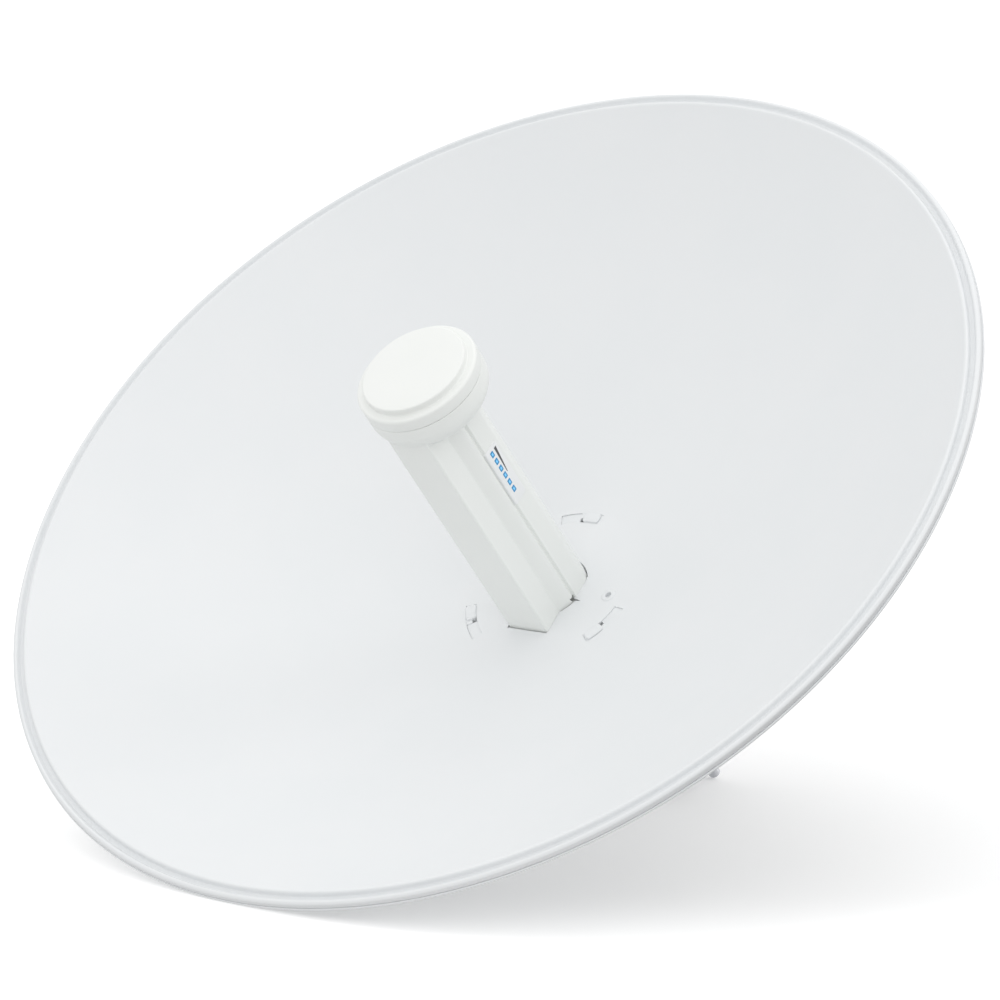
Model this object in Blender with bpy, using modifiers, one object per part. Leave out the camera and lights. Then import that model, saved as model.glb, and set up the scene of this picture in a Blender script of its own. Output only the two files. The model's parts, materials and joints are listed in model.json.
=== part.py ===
"""Parabolic dish antenna with a central feed tower and a rear pole mount.

The antenna is modelled in its own dish frame: the axis of the paraboloid is Z,
with the open side towards +Z and the middle of the rim at the origin.
One empty carries every piece. It leans the dish back and sets it on the floor,
where it rests on the lower edge of the rim and on its two clamp bolts.
Lengths are written in millimetres and turned into metres by MM.
"""

import math

import bmesh
import bpy
from mathutils import Vector

MM = 0.001

# Reflector
RIM_RADIUS = 324.6
DISH_DEPTH = 106.0
SHEET = 1.6
CURVE_RADIUS = 315.0
CURVE_HEIGHT = 5.0
FLAT_RADIUS = 60.0
FLAT_BLEND = 800.0
BORE_START = 8.0
DISH_STEPS = 72
BOWL_RADII = (BORE_START, 40.0, 54.0, 68.0, 105.0, 145.0, 185.0, 225.0, 265.0, 295.0, 315.0)
SHOULDER_RADIUS = 316.8
SHOULDER_RISE = 0.7
GROOVE_RADIUS = 319.2
GROOVE_DROP = 0.8
LIP_FOOT_RADIUS = 321.0
LIP_ROUND = 1.8
HEM_END = -1.6

# How the antenna leans back on the floor
ELEVATION = 48.0

# Clearances, and how far a cutter reaches past what it cuts
GAP = 0.3
SEAT_GAP = 0.4
FEED_HOLE_GAP = 1.0
OVERCUT = 5.0

# Feed tower, seen along the dish axis
TOWER_HALF_WIDTH = 15.7
TOWER_FRONT = -34.1
FLARE = ((0.0, -17.6), (2.2, -14.2), (4.0, -10.8), (4.6, -8.6))
TOWER_RADIUS = 22.6
STRIP_X = 20.9
SHELL_SEAM = -5.2
SEAM_CHAMFER = 0.6
SEAM_STEP = 0.5
TOWER_EDGE = 1.5
TOWER_TOP = 87.0
TOWER_BASE = -114.5

# Collar and cap
COLLAR_TOP = 87.3
COLLAR_RADIUS = 39.4
COLLAR_WALL = 6.3
COLLAR_DROP = 18.0
COLLAR_STEPS = 7
CAP_RADIUS = 39.4
CAP_SEAT = 87.6
CAP_RING = 96.0
CAP_TOP = 100.5
CAP_DISC_RADIUS = 33.8
CAP_DISC_EDGE = 1.0
CAP_DISC_FILLET = 0.9
CAP_ROUND = 1.8
ROUND_STEPS = 64

# Indicator panel on the side strip
PANEL_Z = (-14.4, 30.2)
PANEL_Y = (-3.7, 6.8)
PANEL_FACE = 21.4
PANEL_THICK = 0.9
PANEL_CORNER = 1.5
WINDOW_SIZE = (3.0, 4.4)
WINDOW_Y = -0.6
WINDOW_TOP_Z = 25.3
WINDOW_PITCH = 6.3
WINDOW_COUNT = 6
WINDOW_PROUD = 0.1

# Bayonet slots around the feed: middle angle, and the side of the raised tab
BAYONETS = ((-23.0, -1), (99.2, -1), (-141.4, -1))
SLOT_RADII = (52.7, 60.3)
SLOT_HALF_ANGLE = 15.0
TAB_RADII = (53.6, 60.0)
TAB_RISE = 1.2
KEY_RADII = (53.3, 59.7)
KEY_SINK = 0.9
SLOT_END_GAP = 0.8
STEM_GAP = 0.6
SIGHT_HOLE = (43.2, 0.0)
SIGHT_HOLE_RADIUS = 3.2

# Hub behind the reflector, rear housing and its port cover
HUB_RADIUS = 68.0
HUB_BACK = -116.5
HUB_EDGE = 2.0
HOUSING_RADIUS = 41.0
HOUSING_FRONT = -116.8
HOUSING_BACK = -158.0
HOUSING_ROUND = 6.0
HOUSING_STEPS = 48
COVER_SIZE = (30.0, 10.0, 34.0)
COVER_CENTRE = (0.0, -39.5, -139.0)
COVER_EDGE = 1.5

# Dish bracket, folded from steel plate
STEEL = 3.0
WEB_FRONT = -116.8
WEB_SIZE = (108.0, 134.0)
WEB_CORNER = 8.0
WEB_HOLE = 44.0
EAR_OUTSIDE = 55.0
EAR_END = -202.0
EAR_HEIGHT = 56.0
SCREW_PLACES = ((-32.0, -54.0), (32.0, -54.0), (-32.0, 54.0), (32.0, 54.0))

# Pole bracket and the clamp behind it
CHANNEL_OUTSIDE = 51.6
CHANNEL_START = -176.0
CHANNEL_WEB = -212.0
CHANNEL_HEIGHT = 64.0
CHANNEL_BEND = 4.0
JAW_OVERLAP = 1.0
JAW_CHAMFER = 7.0
JAW_DEPTH = 18.0
JAW_NOTCH = 31.0
JAW_FLOOR = 4.0
TOOTH = 1.1
TEETH = 7
CLAMP_WEB = -259.0
CLAMP_HEIGHT = 56.0
CLAMP_CORNER = 5.0

# Bolts
PIVOT_Z = -186.0
PIVOT_Y = -16.0
LOCK_RADIUS = 30.0
LOCK_ANGLE = 96.0
SLOT_SWEEP = 44.0
M8 = 4.0
M8_HOLE = 4.5
M8_HEX = 7.5
M8_HEAD = 5.3
M8_NUT = 6.5
M8_CHAMFER = 0.8
THREAD_PROUD = 3.0
WASHER_RADIUS = 9.0
WASHER = 1.6
BOLT_X = 38.0
DOME_RADIUS = 9.5
DOME_HEIGHT = 4.4
DOME_RIM = 0.6
SCREW_HEAD = 4.8
SCREW_HEIGHT = 3.4
SCREW_SHANK = 2.4
SCREW_EDGE = 1.0
SCREW_CLEARANCE = 0.4


def clear_scene():
    """Empty the scene, so that the file can be run again."""
    for item in list(bpy.data.objects):
        bpy.data.objects.remove(item, do_unlink=True)


def make_collection(name):
    """Add a collection to the scene and return it."""
    collection = bpy.data.collections.new(name)
    bpy.context.scene.collection.children.link(collection)
    return collection


def make_material(name, colour, roughness, metallic=0.0, emission=0.0):
    """Return a Principled material of one colour."""
    material = bpy.data.materials.new(name)
    material.use_nodes = True
    shader = material.node_tree.nodes["Principled BSDF"]
    shader.inputs["Base Color"].default_value = (*colour, 1.0)
    shader.inputs["Roughness"].default_value = roughness
    shader.inputs["Metallic"].default_value = metallic
    shader.inputs["Emission Color"].default_value = (*colour, 1.0)
    shader.inputs["Emission Strength"].default_value = emission
    return material


class Kit:
    """The collections, the carrying empty and the shared materials."""

    def __init__(self):
        self.parts = make_collection("dish_antenna")
        self.cutters = make_collection("cutters")
        self.frame = bpy.data.objects.new("dish_frame", None)
        self.frame.rotation_euler = (math.radians(90.0 - ELEVATION), 0.0, 0.0)
        self.parts.objects.link(self.frame)
        self.paint = make_material("reflector_paint", (0.83, 0.84, 0.85), 0.42)
        self.plastic = make_material("housing_plastic", (0.80, 0.80, 0.78), 0.48)
        self.label = make_material("panel_film", (0.86, 0.87, 0.88), 0.35)
        self.lamp = make_material("window_blue", (0.18, 0.50, 0.90), 0.25, 0.0, 0.6)
        self.steel = make_material("zinc_steel", (0.62, 0.63, 0.64), 0.38, 0.9)
        self.bolt = make_material("bolt_steel", (0.55, 0.56, 0.57), 0.30, 1.0)

    def add(self, name, mesh, material):
        """Link a mesh as a named piece under the carrying empty."""
        piece = bpy.data.objects.new(name, mesh)
        self.parts.objects.link(piece)
        piece.parent = self.frame
        mesh.materials.clear()
        mesh.materials.append(material)
        return piece

    def add_cutter(self, name, mesh):
        """Link a mesh as a hidden cutting shape under the same empty."""
        cutter = bpy.data.objects.new(name, mesh)
        self.cutters.objects.link(cutter)
        cutter.parent = self.frame
        cutter.hide_render = True
        cutter.display_type = "WIRE"
        return cutter


def evaluated_mesh(item, name):
    """Return the mesh of an object with its modifiers applied, and remove it."""
    graph = bpy.context.evaluated_depsgraph_get()
    mesh = bpy.data.meshes.new_from_object(item.evaluated_get(graph))
    mesh.name = name
    bpy.data.objects.remove(item, do_unlink=True)
    work = bmesh.new()
    work.from_mesh(mesh)
    bmesh.ops.remove_doubles(work, verts=work.verts, dist=1e-6)
    bmesh.ops.recalc_face_normals(work, faces=work.faces)
    work.to_mesh(mesh)
    work.free()
    return mesh


def smooth(piece, angle=35.0):
    """Shade a round piece smooth, with its sharp edges kept."""
    piece.data.shade_smooth()
    piece.data.set_sharp_from_angle(angle=math.radians(angle))


def turned_mesh(name, profile, steps, offset=0.0):
    """Spin a profile of (radius, height) points once around Z."""
    mesh = bpy.data.meshes.new(name)
    start = math.radians(offset)
    points = [
        (r * MM * math.cos(start), r * MM * math.sin(start), z * MM) for r, z in profile
    ]
    edges = [(i, i + 1) for i in range(len(points) - 1)]
    mesh.from_pydata(points, edges, [])
    item = bpy.data.objects.new(name, mesh)
    bpy.context.scene.collection.objects.link(item)
    screw = item.modifiers.new("Turn", "SCREW")
    screw.axis = "Z"
    screw.angle = math.tau
    screw.steps = steps
    screw.render_steps = steps
    screw.use_merge_vertices = True
    screw.merge_threshold = 1e-5
    return evaluated_mesh(item, name)


def plate_mesh(name, outlines, low, high):
    """Extrude flat outlines along Z; inner outlines are holes."""
    curve = bpy.data.curves.new(name, "CURVE")
    curve.dimensions = "2D"
    curve.fill_mode = "BOTH"
    curve.extrude = (high - low) * MM / 2.0
    for outline in outlines:
        spline = curve.splines.new("POLY")
        spline.points.add(len(outline) - 1)
        for point, (x, y) in zip(spline.points, outline):
            point.co = (x * MM, y * MM, 0.0, 1.0)
        spline.use_cyclic_u = True
    item = bpy.data.objects.new(name, curve)
    bpy.context.scene.collection.objects.link(item)
    mesh = evaluated_mesh(item, name)
    middle = (high + low) * MM / 2.0
    for vertex in mesh.vertices:
        vertex.co.z += middle
    return mesh


def stand_up(mesh):
    """Turn a plate's own (x, y, z) to dish axes (x, z, -y): its outline lies in XZ."""
    for vertex in mesh.vertices:
        x, y, z = vertex.co
        vertex.co = Vector((x, -z, y))
    return mesh


def turn_sideways(mesh):
    """Turn a plate's own (x, y, z) to dish axes (z, x, y): its outline lies in YZ."""
    for vertex in mesh.vertices:
        x, y, z = vertex.co
        vertex.co = Vector((z, x, y))
    return mesh


def box_mesh(name, size, centre):
    """Return a box of the given size around a centre."""
    mesh = bpy.data.meshes.new(name)
    work = bmesh.new()
    bmesh.ops.create_cube(work, size=1.0)
    for vertex in work.verts:
        vertex.co = Vector(
            [(centre[i] + vertex.co[i] * size[i]) * MM for i in range(3)]
        )
    work.to_mesh(mesh)
    work.free()
    return mesh


def cut(piece, cutter):
    """Take a cutter out of a piece."""
    modifier = piece.modifiers.new("Cut", "BOOLEAN")
    modifier.operation = "DIFFERENCE"
    modifier.solver = "EXACT"
    modifier.object = cutter


def fuse(piece, other):
    """Join another shape to a piece as one solid."""
    modifier = piece.modifiers.new("Fuse", "BOOLEAN")
    modifier.operation = "UNION"
    modifier.solver = "EXACT"
    modifier.object = other


def round_edges(piece, width, segments=2):
    """Round the edges of a piece."""
    bevel = piece.modifiers.new("Edges", "BEVEL")
    bevel.width = width * MM
    bevel.segments = segments
    bevel.limit_method = "ANGLE"


def arc(centre, radius, start, end, count):
    """Return points on an arc, from a start angle to an end angle in degrees."""
    points = []
    for i in range(count):
        angle = math.radians(start + (end - start) * i / (count - 1))
        x = centre[0] + radius * math.cos(angle)
        y = centre[1] + radius * math.sin(angle)
        points.append((x, y))
    return points


def circle(radius, centre=(0.0, 0.0), count=24):
    """Return the points of a full circle."""
    return arc(centre, radius, 0.0, 360.0 * (count - 1) / count, count)


def sector(radii, start, end, count=8):
    """Return the outline of a piece of a ring between two angles."""
    outer = arc((0.0, 0.0), radii[1], start, end, count)
    inner = arc((0.0, 0.0), radii[0], end, start, count)
    return outer + inner


def rounded_rectangle(width, height, radius, centre=(0.0, 0.0)):
    """Return the outline of a rectangle with round corners."""
    right, top = width / 2.0 - radius, height / 2.0 - radius
    points = []
    for turn, (x, y) in enumerate(
        ((right, top), (-right, top), (-right, -top), (right, -top))
    ):
        corner = (centre[0] + x, centre[1] + y)
        points += arc(corner, radius, 90.0 * turn, 90.0 * turn + 90.0, 5)
    return points


def mirrored(half):
    """Close an outline: the half at +X, then its mirror image."""
    return half + [(-x, y) for x, y in reversed(half) if x > 0.01]


def dish_height(radius):
    """Height of the reflecting surface: a level middle, then a parabola."""
    beyond = radius**2 - FLAT_RADIUS**2
    beyond = (beyond + math.hypot(beyond, FLAT_BLEND)) / 2.0
    share = beyond / (CURVE_RADIUS**2 - FLAT_RADIUS**2)
    return -DISH_DEPTH + (CURVE_HEIGHT + DISH_DEPTH) * share


def dish_profile():
    """Front of the reflector from the middle to the rolled rim."""
    profile = [(r, dish_height(r)) for r in BOWL_RADII]
    profile.append((SHOULDER_RADIUS, CURVE_HEIGHT + SHOULDER_RISE))
    profile.append((GROOVE_RADIUS, CURVE_HEIGHT - GROOVE_DROP))
    profile.append((LIP_FOOT_RADIUS, CURVE_HEIGHT - GROOVE_DROP / 2.0))
    lip = (RIM_RADIUS - LIP_ROUND, CURVE_HEIGHT - LIP_ROUND)
    profile += arc(lip, LIP_ROUND, 90.0, 0.0, 4)
    profile.append((RIM_RADIUS, HEM_END))
    return profile


def feed_outline(grow=0.0):
    """Whole outline of the feed tower, grown outwards all round."""
    half_width = TOWER_HALF_WIDTH + grow
    front = TOWER_FRONT - grow
    edge = TOWER_EDGE
    half = [(0.0, front)]
    half += arc((half_width - edge, front + edge), edge, -90.0, 0.0, 3)
    slant = grow / 2.0
    half += [(half_width + out + slant, y) for out, y in FLARE]
    half.append((STRIP_X + grow, SHELL_SEAM - grow / 2.0))
    radius = TOWER_RADIUS + grow
    start = math.degrees(math.acos((STRIP_X + grow) / radius))
    half += arc((0.0, 0.0), radius, start, 90.0, 10)
    return mirrored(half)


def lower_shell_outline():
    """Box-like half of the tower, up to the seam."""
    edge = TOWER_EDGE
    seam = SHELL_SEAM - GAP / 2.0
    half = [(0.0, TOWER_FRONT)]
    half += arc((TOWER_HALF_WIDTH - edge, TOWER_FRONT + edge), edge, -90.0, 0.0, 3)
    half += [(TOWER_HALF_WIDTH + out, y) for out, y in FLARE]
    half.append((STRIP_X - SEAM_STEP, seam - SEAM_CHAMFER))
    half.append((STRIP_X - SEAM_STEP - SEAM_CHAMFER, seam))
    return mirrored(half)


def upper_shell_outline():
    """Round half of the tower, with a flat strip on each side."""
    seam = SHELL_SEAM + GAP / 2.0
    start = math.degrees(math.acos(STRIP_X / TOWER_RADIUS))
    half = [(STRIP_X - SEAM_CHAMFER, seam), (STRIP_X, seam + SEAM_CHAMFER)]
    half += arc((0.0, 0.0), TOWER_RADIUS, start, 90.0, 12)
    return mirrored(half)


def build_reflector(kit):
    """Pressed reflector with its feed hole, bayonet slots and sight hole."""
    offset = 180.0 / DISH_STEPS
    mesh = turned_mesh("reflector_dish", dish_profile(), DISH_STEPS, offset)
    dish = kit.add("reflector_dish", mesh, kit.paint)
    solidify = dish.modifiers.new("Sheet", "SOLIDIFY")
    solidify.thickness = SHEET * MM
    solidify.offset = -1.0
    low, high = dish_height(0.0) - OVERCUT, dish_height(HUB_RADIUS) + OVERCUT
    hole = plate_mesh("feed_hole", [feed_outline(FEED_HOLE_GAP)], low, high)
    cut(dish, kit.add_cutter("feed_hole", hole))
    for number, (middle, _side) in enumerate(BAYONETS, 1):
        name = f"bayonet_slot_{number}"
        shape = sector(SLOT_RADII, middle - SLOT_HALF_ANGLE, middle + SLOT_HALF_ANGLE)
        cut(dish, kit.add_cutter(name, plate_mesh(name, [shape], low, high)))
    shape = circle(SIGHT_HOLE_RADIUS, SIGHT_HOLE, 16)
    cut(dish, kit.add_cutter("sight_hole", plate_mesh("sight_hole", [shape], low, high)))
    smooth(dish)


def hub_profile():
    """Turned hub whose front follows the back of the reflector."""
    stations = (HUB_RADIUS, 54.0, 40.0, BORE_START)
    front = -SHEET - SEAT_GAP
    profile = [(BORE_START, HUB_BACK), (HUB_RADIUS - HUB_EDGE, HUB_BACK)]
    profile += [(HUB_RADIUS, HUB_BACK + HUB_EDGE)]
    profile += [(r, dish_height(r) + front) for r in stations]
    profile.append((BORE_START, HUB_BACK))
    return list(reversed(profile))


def add_bayonet(kit, hub, number, middle, side):
    """Fuse one bayonet to the hub: a raised tab, its stem and a sunken key.

    The tab fills one half of the slot and stands over the dish. The key fills
    the other half and lies just under the dish surface.
    """
    root = HUB_BACK + HUB_EDGE
    head = dish_height(TAB_RADII[1]) + SEAT_GAP
    reach = SLOT_HALF_ANGLE - SLOT_END_GAP
    tab = sorted((middle + side * SLOT_END_GAP, middle + side * reach))
    key = sorted((middle - side * SLOT_END_GAP, middle - side * reach))
    stem_radii = (TAB_RADII[0], SLOT_RADII[1] - STEM_GAP)
    key_top = dish_height(KEY_RADII[0]) - KEY_SINK
    shapes = (
        ("tab_stem", sector(stem_radii, *tab), root, head + TAB_RISE / 2.0),
        ("tab_head", sector(TAB_RADII, tab[0] + 0.1, tab[1] - 0.1), head, head + TAB_RISE),
        ("slot_key", sector(KEY_RADII, *key), root, key_top),
    )
    for word, outline, low, high in shapes:
        name = f"{word}_{number}"
        fuse(hub, kit.add_cutter(name, plate_mesh(name, [outline], low, high)))


def build_hub(kit):
    """Hub behind the reflector, with the keys and tabs of its bayonet lock."""
    offset = 180.0 / DISH_STEPS
    mesh = turned_mesh("mount_hub", hub_profile(), DISH_STEPS, offset)
    hub = kit.add("mount_hub", mesh, kit.plastic)
    low, high = HUB_BACK - OVERCUT, dish_height(HUB_RADIUS) + OVERCUT
    hole = plate_mesh("hub_hole", [feed_outline(FEED_HOLE_GAP)], low, high)
    cut(hub, kit.add_cutter("hub_hole", hole))
    for number, (middle, side) in enumerate(BAYONETS, 1):
        add_bayonet(kit, hub, number, middle, side)
    smooth(hub)


def build_tower(kit):
    """The two long shells of the feed tower."""
    lower = plate_mesh("feed_lower_shell", [lower_shell_outline()], TOWER_BASE, TOWER_TOP)
    smooth(kit.add("feed_lower_shell", lower, kit.plastic), 20.0)
    upper = plate_mesh("feed_upper_shell", [upper_shell_outline()], TOWER_BASE, TOWER_TOP)
    shell = kit.add("feed_upper_shell", upper, kit.plastic)
    floor = PANEL_FACE - PANEL_THICK - GAP
    depth = STRIP_X + OVERCUT - floor
    width = PANEL_Y[1] - PANEL_Y[0] + 2.0 * GAP
    height = PANEL_Z[1] - PANEL_Z[0] + 2.0 * GAP
    centre = (floor + depth / 2.0, sum(PANEL_Y) / 2.0, sum(PANEL_Z) / 2.0)
    pocket = box_mesh("panel_pocket", (depth, width, height), centre)
    cut(shell, kit.add_cutter("panel_pocket", pocket))
    smooth(shell, 20.0)


def window_heights():
    """Heights of the indicator windows, from the cap downwards."""
    return [WINDOW_TOP_Z - WINDOW_PITCH * i for i in range(WINDOW_COUNT)]


def rectangle(size, centre, grow=0.0):
    """Return the corners of a rectangle, grown outwards all round."""
    right, top = size[0] / 2.0 + grow, size[1] / 2.0 + grow
    corners = ((-right, -top), (right, -top), (right, top), (-right, top))
    return [(centre[0] + x, centre[1] + y) for x, y in corners]


def build_panel(kit):
    """Indicator panel let into the strip, and its six windows."""
    width, height = PANEL_Y[1] - PANEL_Y[0], PANEL_Z[1] - PANEL_Z[0]
    centre = (sum(PANEL_Y) / 2.0, sum(PANEL_Z) / 2.0)
    outlines = [rounded_rectangle(width, height, PANEL_CORNER, centre)]
    for z in window_heights():
        outlines.append(rectangle(WINDOW_SIZE, (WINDOW_Y, z), GAP))
    low = PANEL_FACE - PANEL_THICK
    panel = turn_sideways(plate_mesh("indicator_panel", outlines, low, PANEL_FACE))
    kit.add("indicator_panel", panel, kit.label)
    for number, z in enumerate(window_heights(), 1):
        name = f"indicator_window_{number}"
        face = [rectangle(WINDOW_SIZE, (WINDOW_Y, z))]
        window = turn_sideways(plate_mesh(name, face, low, PANEL_FACE + WINDOW_PROUD))
        kit.add(name, window, kit.lamp)


def build_collar(kit):
    """Bowl-shaped collar between the tower and the cap."""
    profile = [(BORE_START, COLLAR_TOP), (COLLAR_RADIUS, COLLAR_TOP)]
    shoulder = COLLAR_TOP - COLLAR_WALL
    bottom = shoulder - COLLAR_DROP
    inner = TOWER_RADIUS - GAP
    for i in range(COLLAR_STEPS + 1):
        turn = math.radians(90.0 * i / COLLAR_STEPS)
        radius = inner + (COLLAR_RADIUS - inner) * math.cos(turn)
        profile.append((radius, shoulder - COLLAR_DROP * math.sin(turn)))
    profile += [(BORE_START, bottom), (BORE_START, COLLAR_TOP)]
    collar = kit.add("feed_collar", turned_mesh("feed_collar", profile, ROUND_STEPS), kit.plastic)
    hole = plate_mesh("collar_hole", [feed_outline(GAP)], bottom - OVERCUT, COLLAR_TOP + OVERCUT)
    cut(collar, kit.add_cutter("collar_hole", hole))
    smooth(collar)


def build_cap(kit):
    """Round cap with a raised disc."""
    step = CAP_DISC_RADIUS
    profile = [(0.0, CAP_TOP), (step - CAP_DISC_EDGE, CAP_TOP), (step, CAP_TOP - CAP_DISC_EDGE)]
    profile += [(step, CAP_RING + CAP_DISC_FILLET), (step + CAP_DISC_FILLET, CAP_RING)]
    edge = (CAP_RADIUS - CAP_ROUND, CAP_RING - CAP_ROUND)
    profile += arc(edge, CAP_ROUND, 90.0, 0.0, 4)
    profile += [(CAP_RADIUS, CAP_SEAT), (0.0, CAP_SEAT)]
    smooth(kit.add("feed_cap", turned_mesh("feed_cap", profile, ROUND_STEPS), kit.plastic))


def build_housing(kit):
    """Rear housing behind the hub, and its port cover."""
    edge = (HOUSING_RADIUS - HOUSING_ROUND, HOUSING_BACK + HOUSING_ROUND)
    profile = [(0.0, HOUSING_FRONT), (HOUSING_RADIUS, HOUSING_FRONT)]
    profile += arc(edge, HOUSING_ROUND, 0.0, -90.0, 5)
    profile.append((0.0, HOUSING_BACK))
    mesh = turned_mesh("rear_housing", profile, HOUSING_STEPS)
    housing = kit.add("rear_housing", mesh, kit.plastic)
    grown = [length + 2.0 * GAP for length in COVER_SIZE]
    pocket = box_mesh("cover_pocket", grown, COVER_CENTRE)
    cut(housing, kit.add_cutter("cover_pocket", pocket))
    smooth(housing)
    cover = kit.add("port_cover", box_mesh("port_cover", COVER_SIZE, COVER_CENTRE), kit.plastic)
    round_edges(cover, COVER_EDGE)


def ear_outline():
    """Side view of one ear in (y, z), with a round end."""
    half = EAR_HEIGHT / 2.0
    front = WEB_FRONT - JAW_OVERLAP
    tip = EAR_END + half
    return [(-half, front)] + arc((0.0, tip), half, 180.0, 360.0, 13) + [(half, front)]


def lock_slot():
    """Curved slot around the pivot, in (y, z)."""
    pivot = (PIVOT_Y, PIVOT_Z)
    start, end = LOCK_ANGLE - SLOT_SWEEP / 2.0, LOCK_ANGLE + SLOT_SWEEP / 2.0
    outer = arc(pivot, LOCK_RADIUS + M8_HOLE, start, end, 7)
    inner = arc(pivot, LOCK_RADIUS - M8_HOLE, end, start, 7)
    return outer + inner


def lock_place():
    """Place of the lock bolt in (y, z)."""
    turn = math.radians(LOCK_ANGLE)
    return PIVOT_Y + LOCK_RADIUS * math.cos(turn), PIVOT_Z + LOCK_RADIUS * math.sin(turn)


def side_word(side):
    """Word for the side at -X or +X."""
    return "right" if side > 0 else "left"


def build_dish_bracket(kit):
    """Steel bracket: a web behind the hub and an ear on each side."""
    outlines = [rounded_rectangle(*WEB_SIZE, WEB_CORNER), circle(WEB_HOLE, count=48)]
    outlines += [circle(SCREW_SHANK + SCREW_CLEARANCE, place, 16) for place in SCREW_PLACES]
    web = plate_mesh("dish_bracket", outlines, WEB_FRONT - STEEL, WEB_FRONT)
    bracket = kit.add("dish_bracket", web, kit.steel)
    for side in (-1, 1):
        low, high = sorted((side * (EAR_OUTSIDE - STEEL), side * EAR_OUTSIDE))
        holes = [circle(M8_HOLE, (PIVOT_Y, PIVOT_Z), 20), lock_slot()]
        ear = turn_sideways(plate_mesh("ear", [ear_outline()] + holes, low, high))
        fuse(bracket, kit.add_cutter(f"ear_{side_word(side)}", ear))


def channel_outline():
    """Section of the pole bracket's channel, in (x, z)."""
    out, web, bend = CHANNEL_OUTSIDE, CHANNEL_WEB, CHANNEL_BEND
    corner = (out - bend, web - STEEL + bend)
    right = [(out - STEEL, web), (out - STEEL, CHANNEL_START), (out, CHANNEL_START)]
    right += arc(corner, bend, 0.0, -90.0, 4)
    return right + [(-x, z) for x, z in reversed(right)]


def toothed_edge(start, end):
    """Zigzag from one point to another, with small teeth."""
    points = []
    length = math.dist(start, end)
    along = ((end[0] - start[0]) / length, (end[1] - start[1]) / length)
    normal = (along[1], -along[0])
    count = 2 * TEETH
    for i in range(count + 1):
        lift = TOOTH if i % 2 else 0.0
        x = start[0] + along[0] * length * i / count + normal[0] * lift
        z = start[1] + along[1] * length * i / count + normal[1] * lift
        points.append((x, z))
    return points


def jaw_outline(root, depth, direction):
    """Jaw plate in (x, z): a bar with a toothed V cut into its far edge."""
    out = CHANNEL_OUTSIDE - JAW_OVERLAP
    tip = root + direction * depth
    middle = (0.0, root + direction * JAW_FLOOR)
    shoulder = root + direction * (depth - JAW_CHAMFER)
    left, right = (-JAW_NOTCH, tip), (JAW_NOTCH, tip)
    if direction < 0:
        notch = toothed_edge(right, middle) + toothed_edge(middle, left)[1:]
    else:
        notch = toothed_edge(left, middle) + toothed_edge(middle, right)[1:]
        notch = list(reversed(notch))
    edge = [(out, root - direction * JAW_OVERLAP), (out, shoulder)]
    edge.append((JAW_NOTCH + JAW_CHAMFER, tip))
    return edge + notch + [(-x, z) for x, z in reversed(edge)]


def add_jaws(kit, piece, height, root, direction, label):
    """Fuse the upper and lower jaw plates to a channel or clamp."""
    for side in (-1, 1):
        outside = side * height / 2.0
        inside = outside - side * STEEL
        low, high = sorted((-outside, -inside))
        outline = jaw_outline(root, JAW_DEPTH, direction)
        name = f"{label}_{'top' if side > 0 else 'bottom'}"
        fuse(piece, kit.add_cutter(name, stand_up(plate_mesh(name, [outline], low, high))))


def build_pole_bracket(kit):
    """Channel that turns between the ears, with toothed jaws for the pole."""
    half = CHANNEL_HEIGHT / 2.0 - 0.5
    channel = stand_up(plate_mesh("pole_bracket", [channel_outline()], -half, half))
    bracket = kit.add("pole_bracket", channel, kit.steel)
    add_jaws(kit, bracket, CHANNEL_HEIGHT, CHANNEL_WEB - STEEL, -1, "bracket_jaw")
    for name, (y, z) in (("pivot", (PIVOT_Y, PIVOT_Z)), ("lock", lock_place())):
        bore = [circle(M8_HOLE, (y, z), 20)]
        mesh = turn_sideways(plate_mesh(name, bore, -EAR_OUTSIDE, EAR_OUTSIDE))
        cut(bracket, kit.add_cutter(f"{name}_bore", mesh))
    for side in (-1, 1):
        outline = circle(M8_HOLE, (side * BOLT_X, 0.0), 20)
        bore = plate_mesh("bore", [outline], CHANNEL_WEB - 2.0 * STEEL, CHANNEL_WEB + STEEL)
        cut(bracket, kit.add_cutter(f"bolt_bore_{side_word(side)}", bore))


def build_pole_clamp(kit):
    """Loose clamp plate on the far side of the pole."""
    height = CLAMP_HEIGHT - JAW_OVERLAP
    outlines = [rounded_rectangle(2.0 * CHANNEL_OUTSIDE, height, CLAMP_CORNER)]
    outlines += [circle(M8_HOLE, (side * BOLT_X, 0.0), 20) for side in (-1, 1)]
    plate = plate_mesh("pole_clamp", outlines, CLAMP_WEB, CLAMP_WEB + STEEL)
    clamp = kit.add("pole_clamp", plate, kit.steel)
    add_jaws(kit, clamp, CLAMP_HEIGHT, CLAMP_WEB + STEEL, 1, "clamp_jaw")


def floor_height():
    """Height of the floor along the world's up direction, in the dish frame."""
    lean = math.radians(ELEVATION)
    lowest = RIM_RADIUS * math.cos(math.pi / DISH_STEPS)
    return -lowest * math.cos(lean) + HEM_END * math.sin(lean)


def clamp_bolt_end():
    """Place along the axis where a clamp bolt's lower edge meets the floor."""
    lean = math.radians(ELEVATION)
    return (floor_height() + M8 * math.cos(lean)) / math.sin(lean)


def clamp_bolt_profile():
    """Carriage bolt as (radius, height): round head, shank and bevelled end."""
    head, end = CHANNEL_WEB + GAP, clamp_bolt_end()
    low, rise = head + DOME_RIM, DOME_HEIGHT - DOME_RIM
    profile = [(0.0, head + DOME_HEIGHT)]
    for angle in (25.0, 50.0, 72.0, 90.0):
        turn = math.radians(angle)
        profile.append((DOME_RADIUS * math.sin(turn), low + rise * math.cos(turn)))
    profile += [(DOME_RADIUS, head), (M8, head), (M8, end + M8_CHAMFER)]
    return profile + [(M8 - M8_CHAMFER, end), (0.0, end)]


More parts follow.
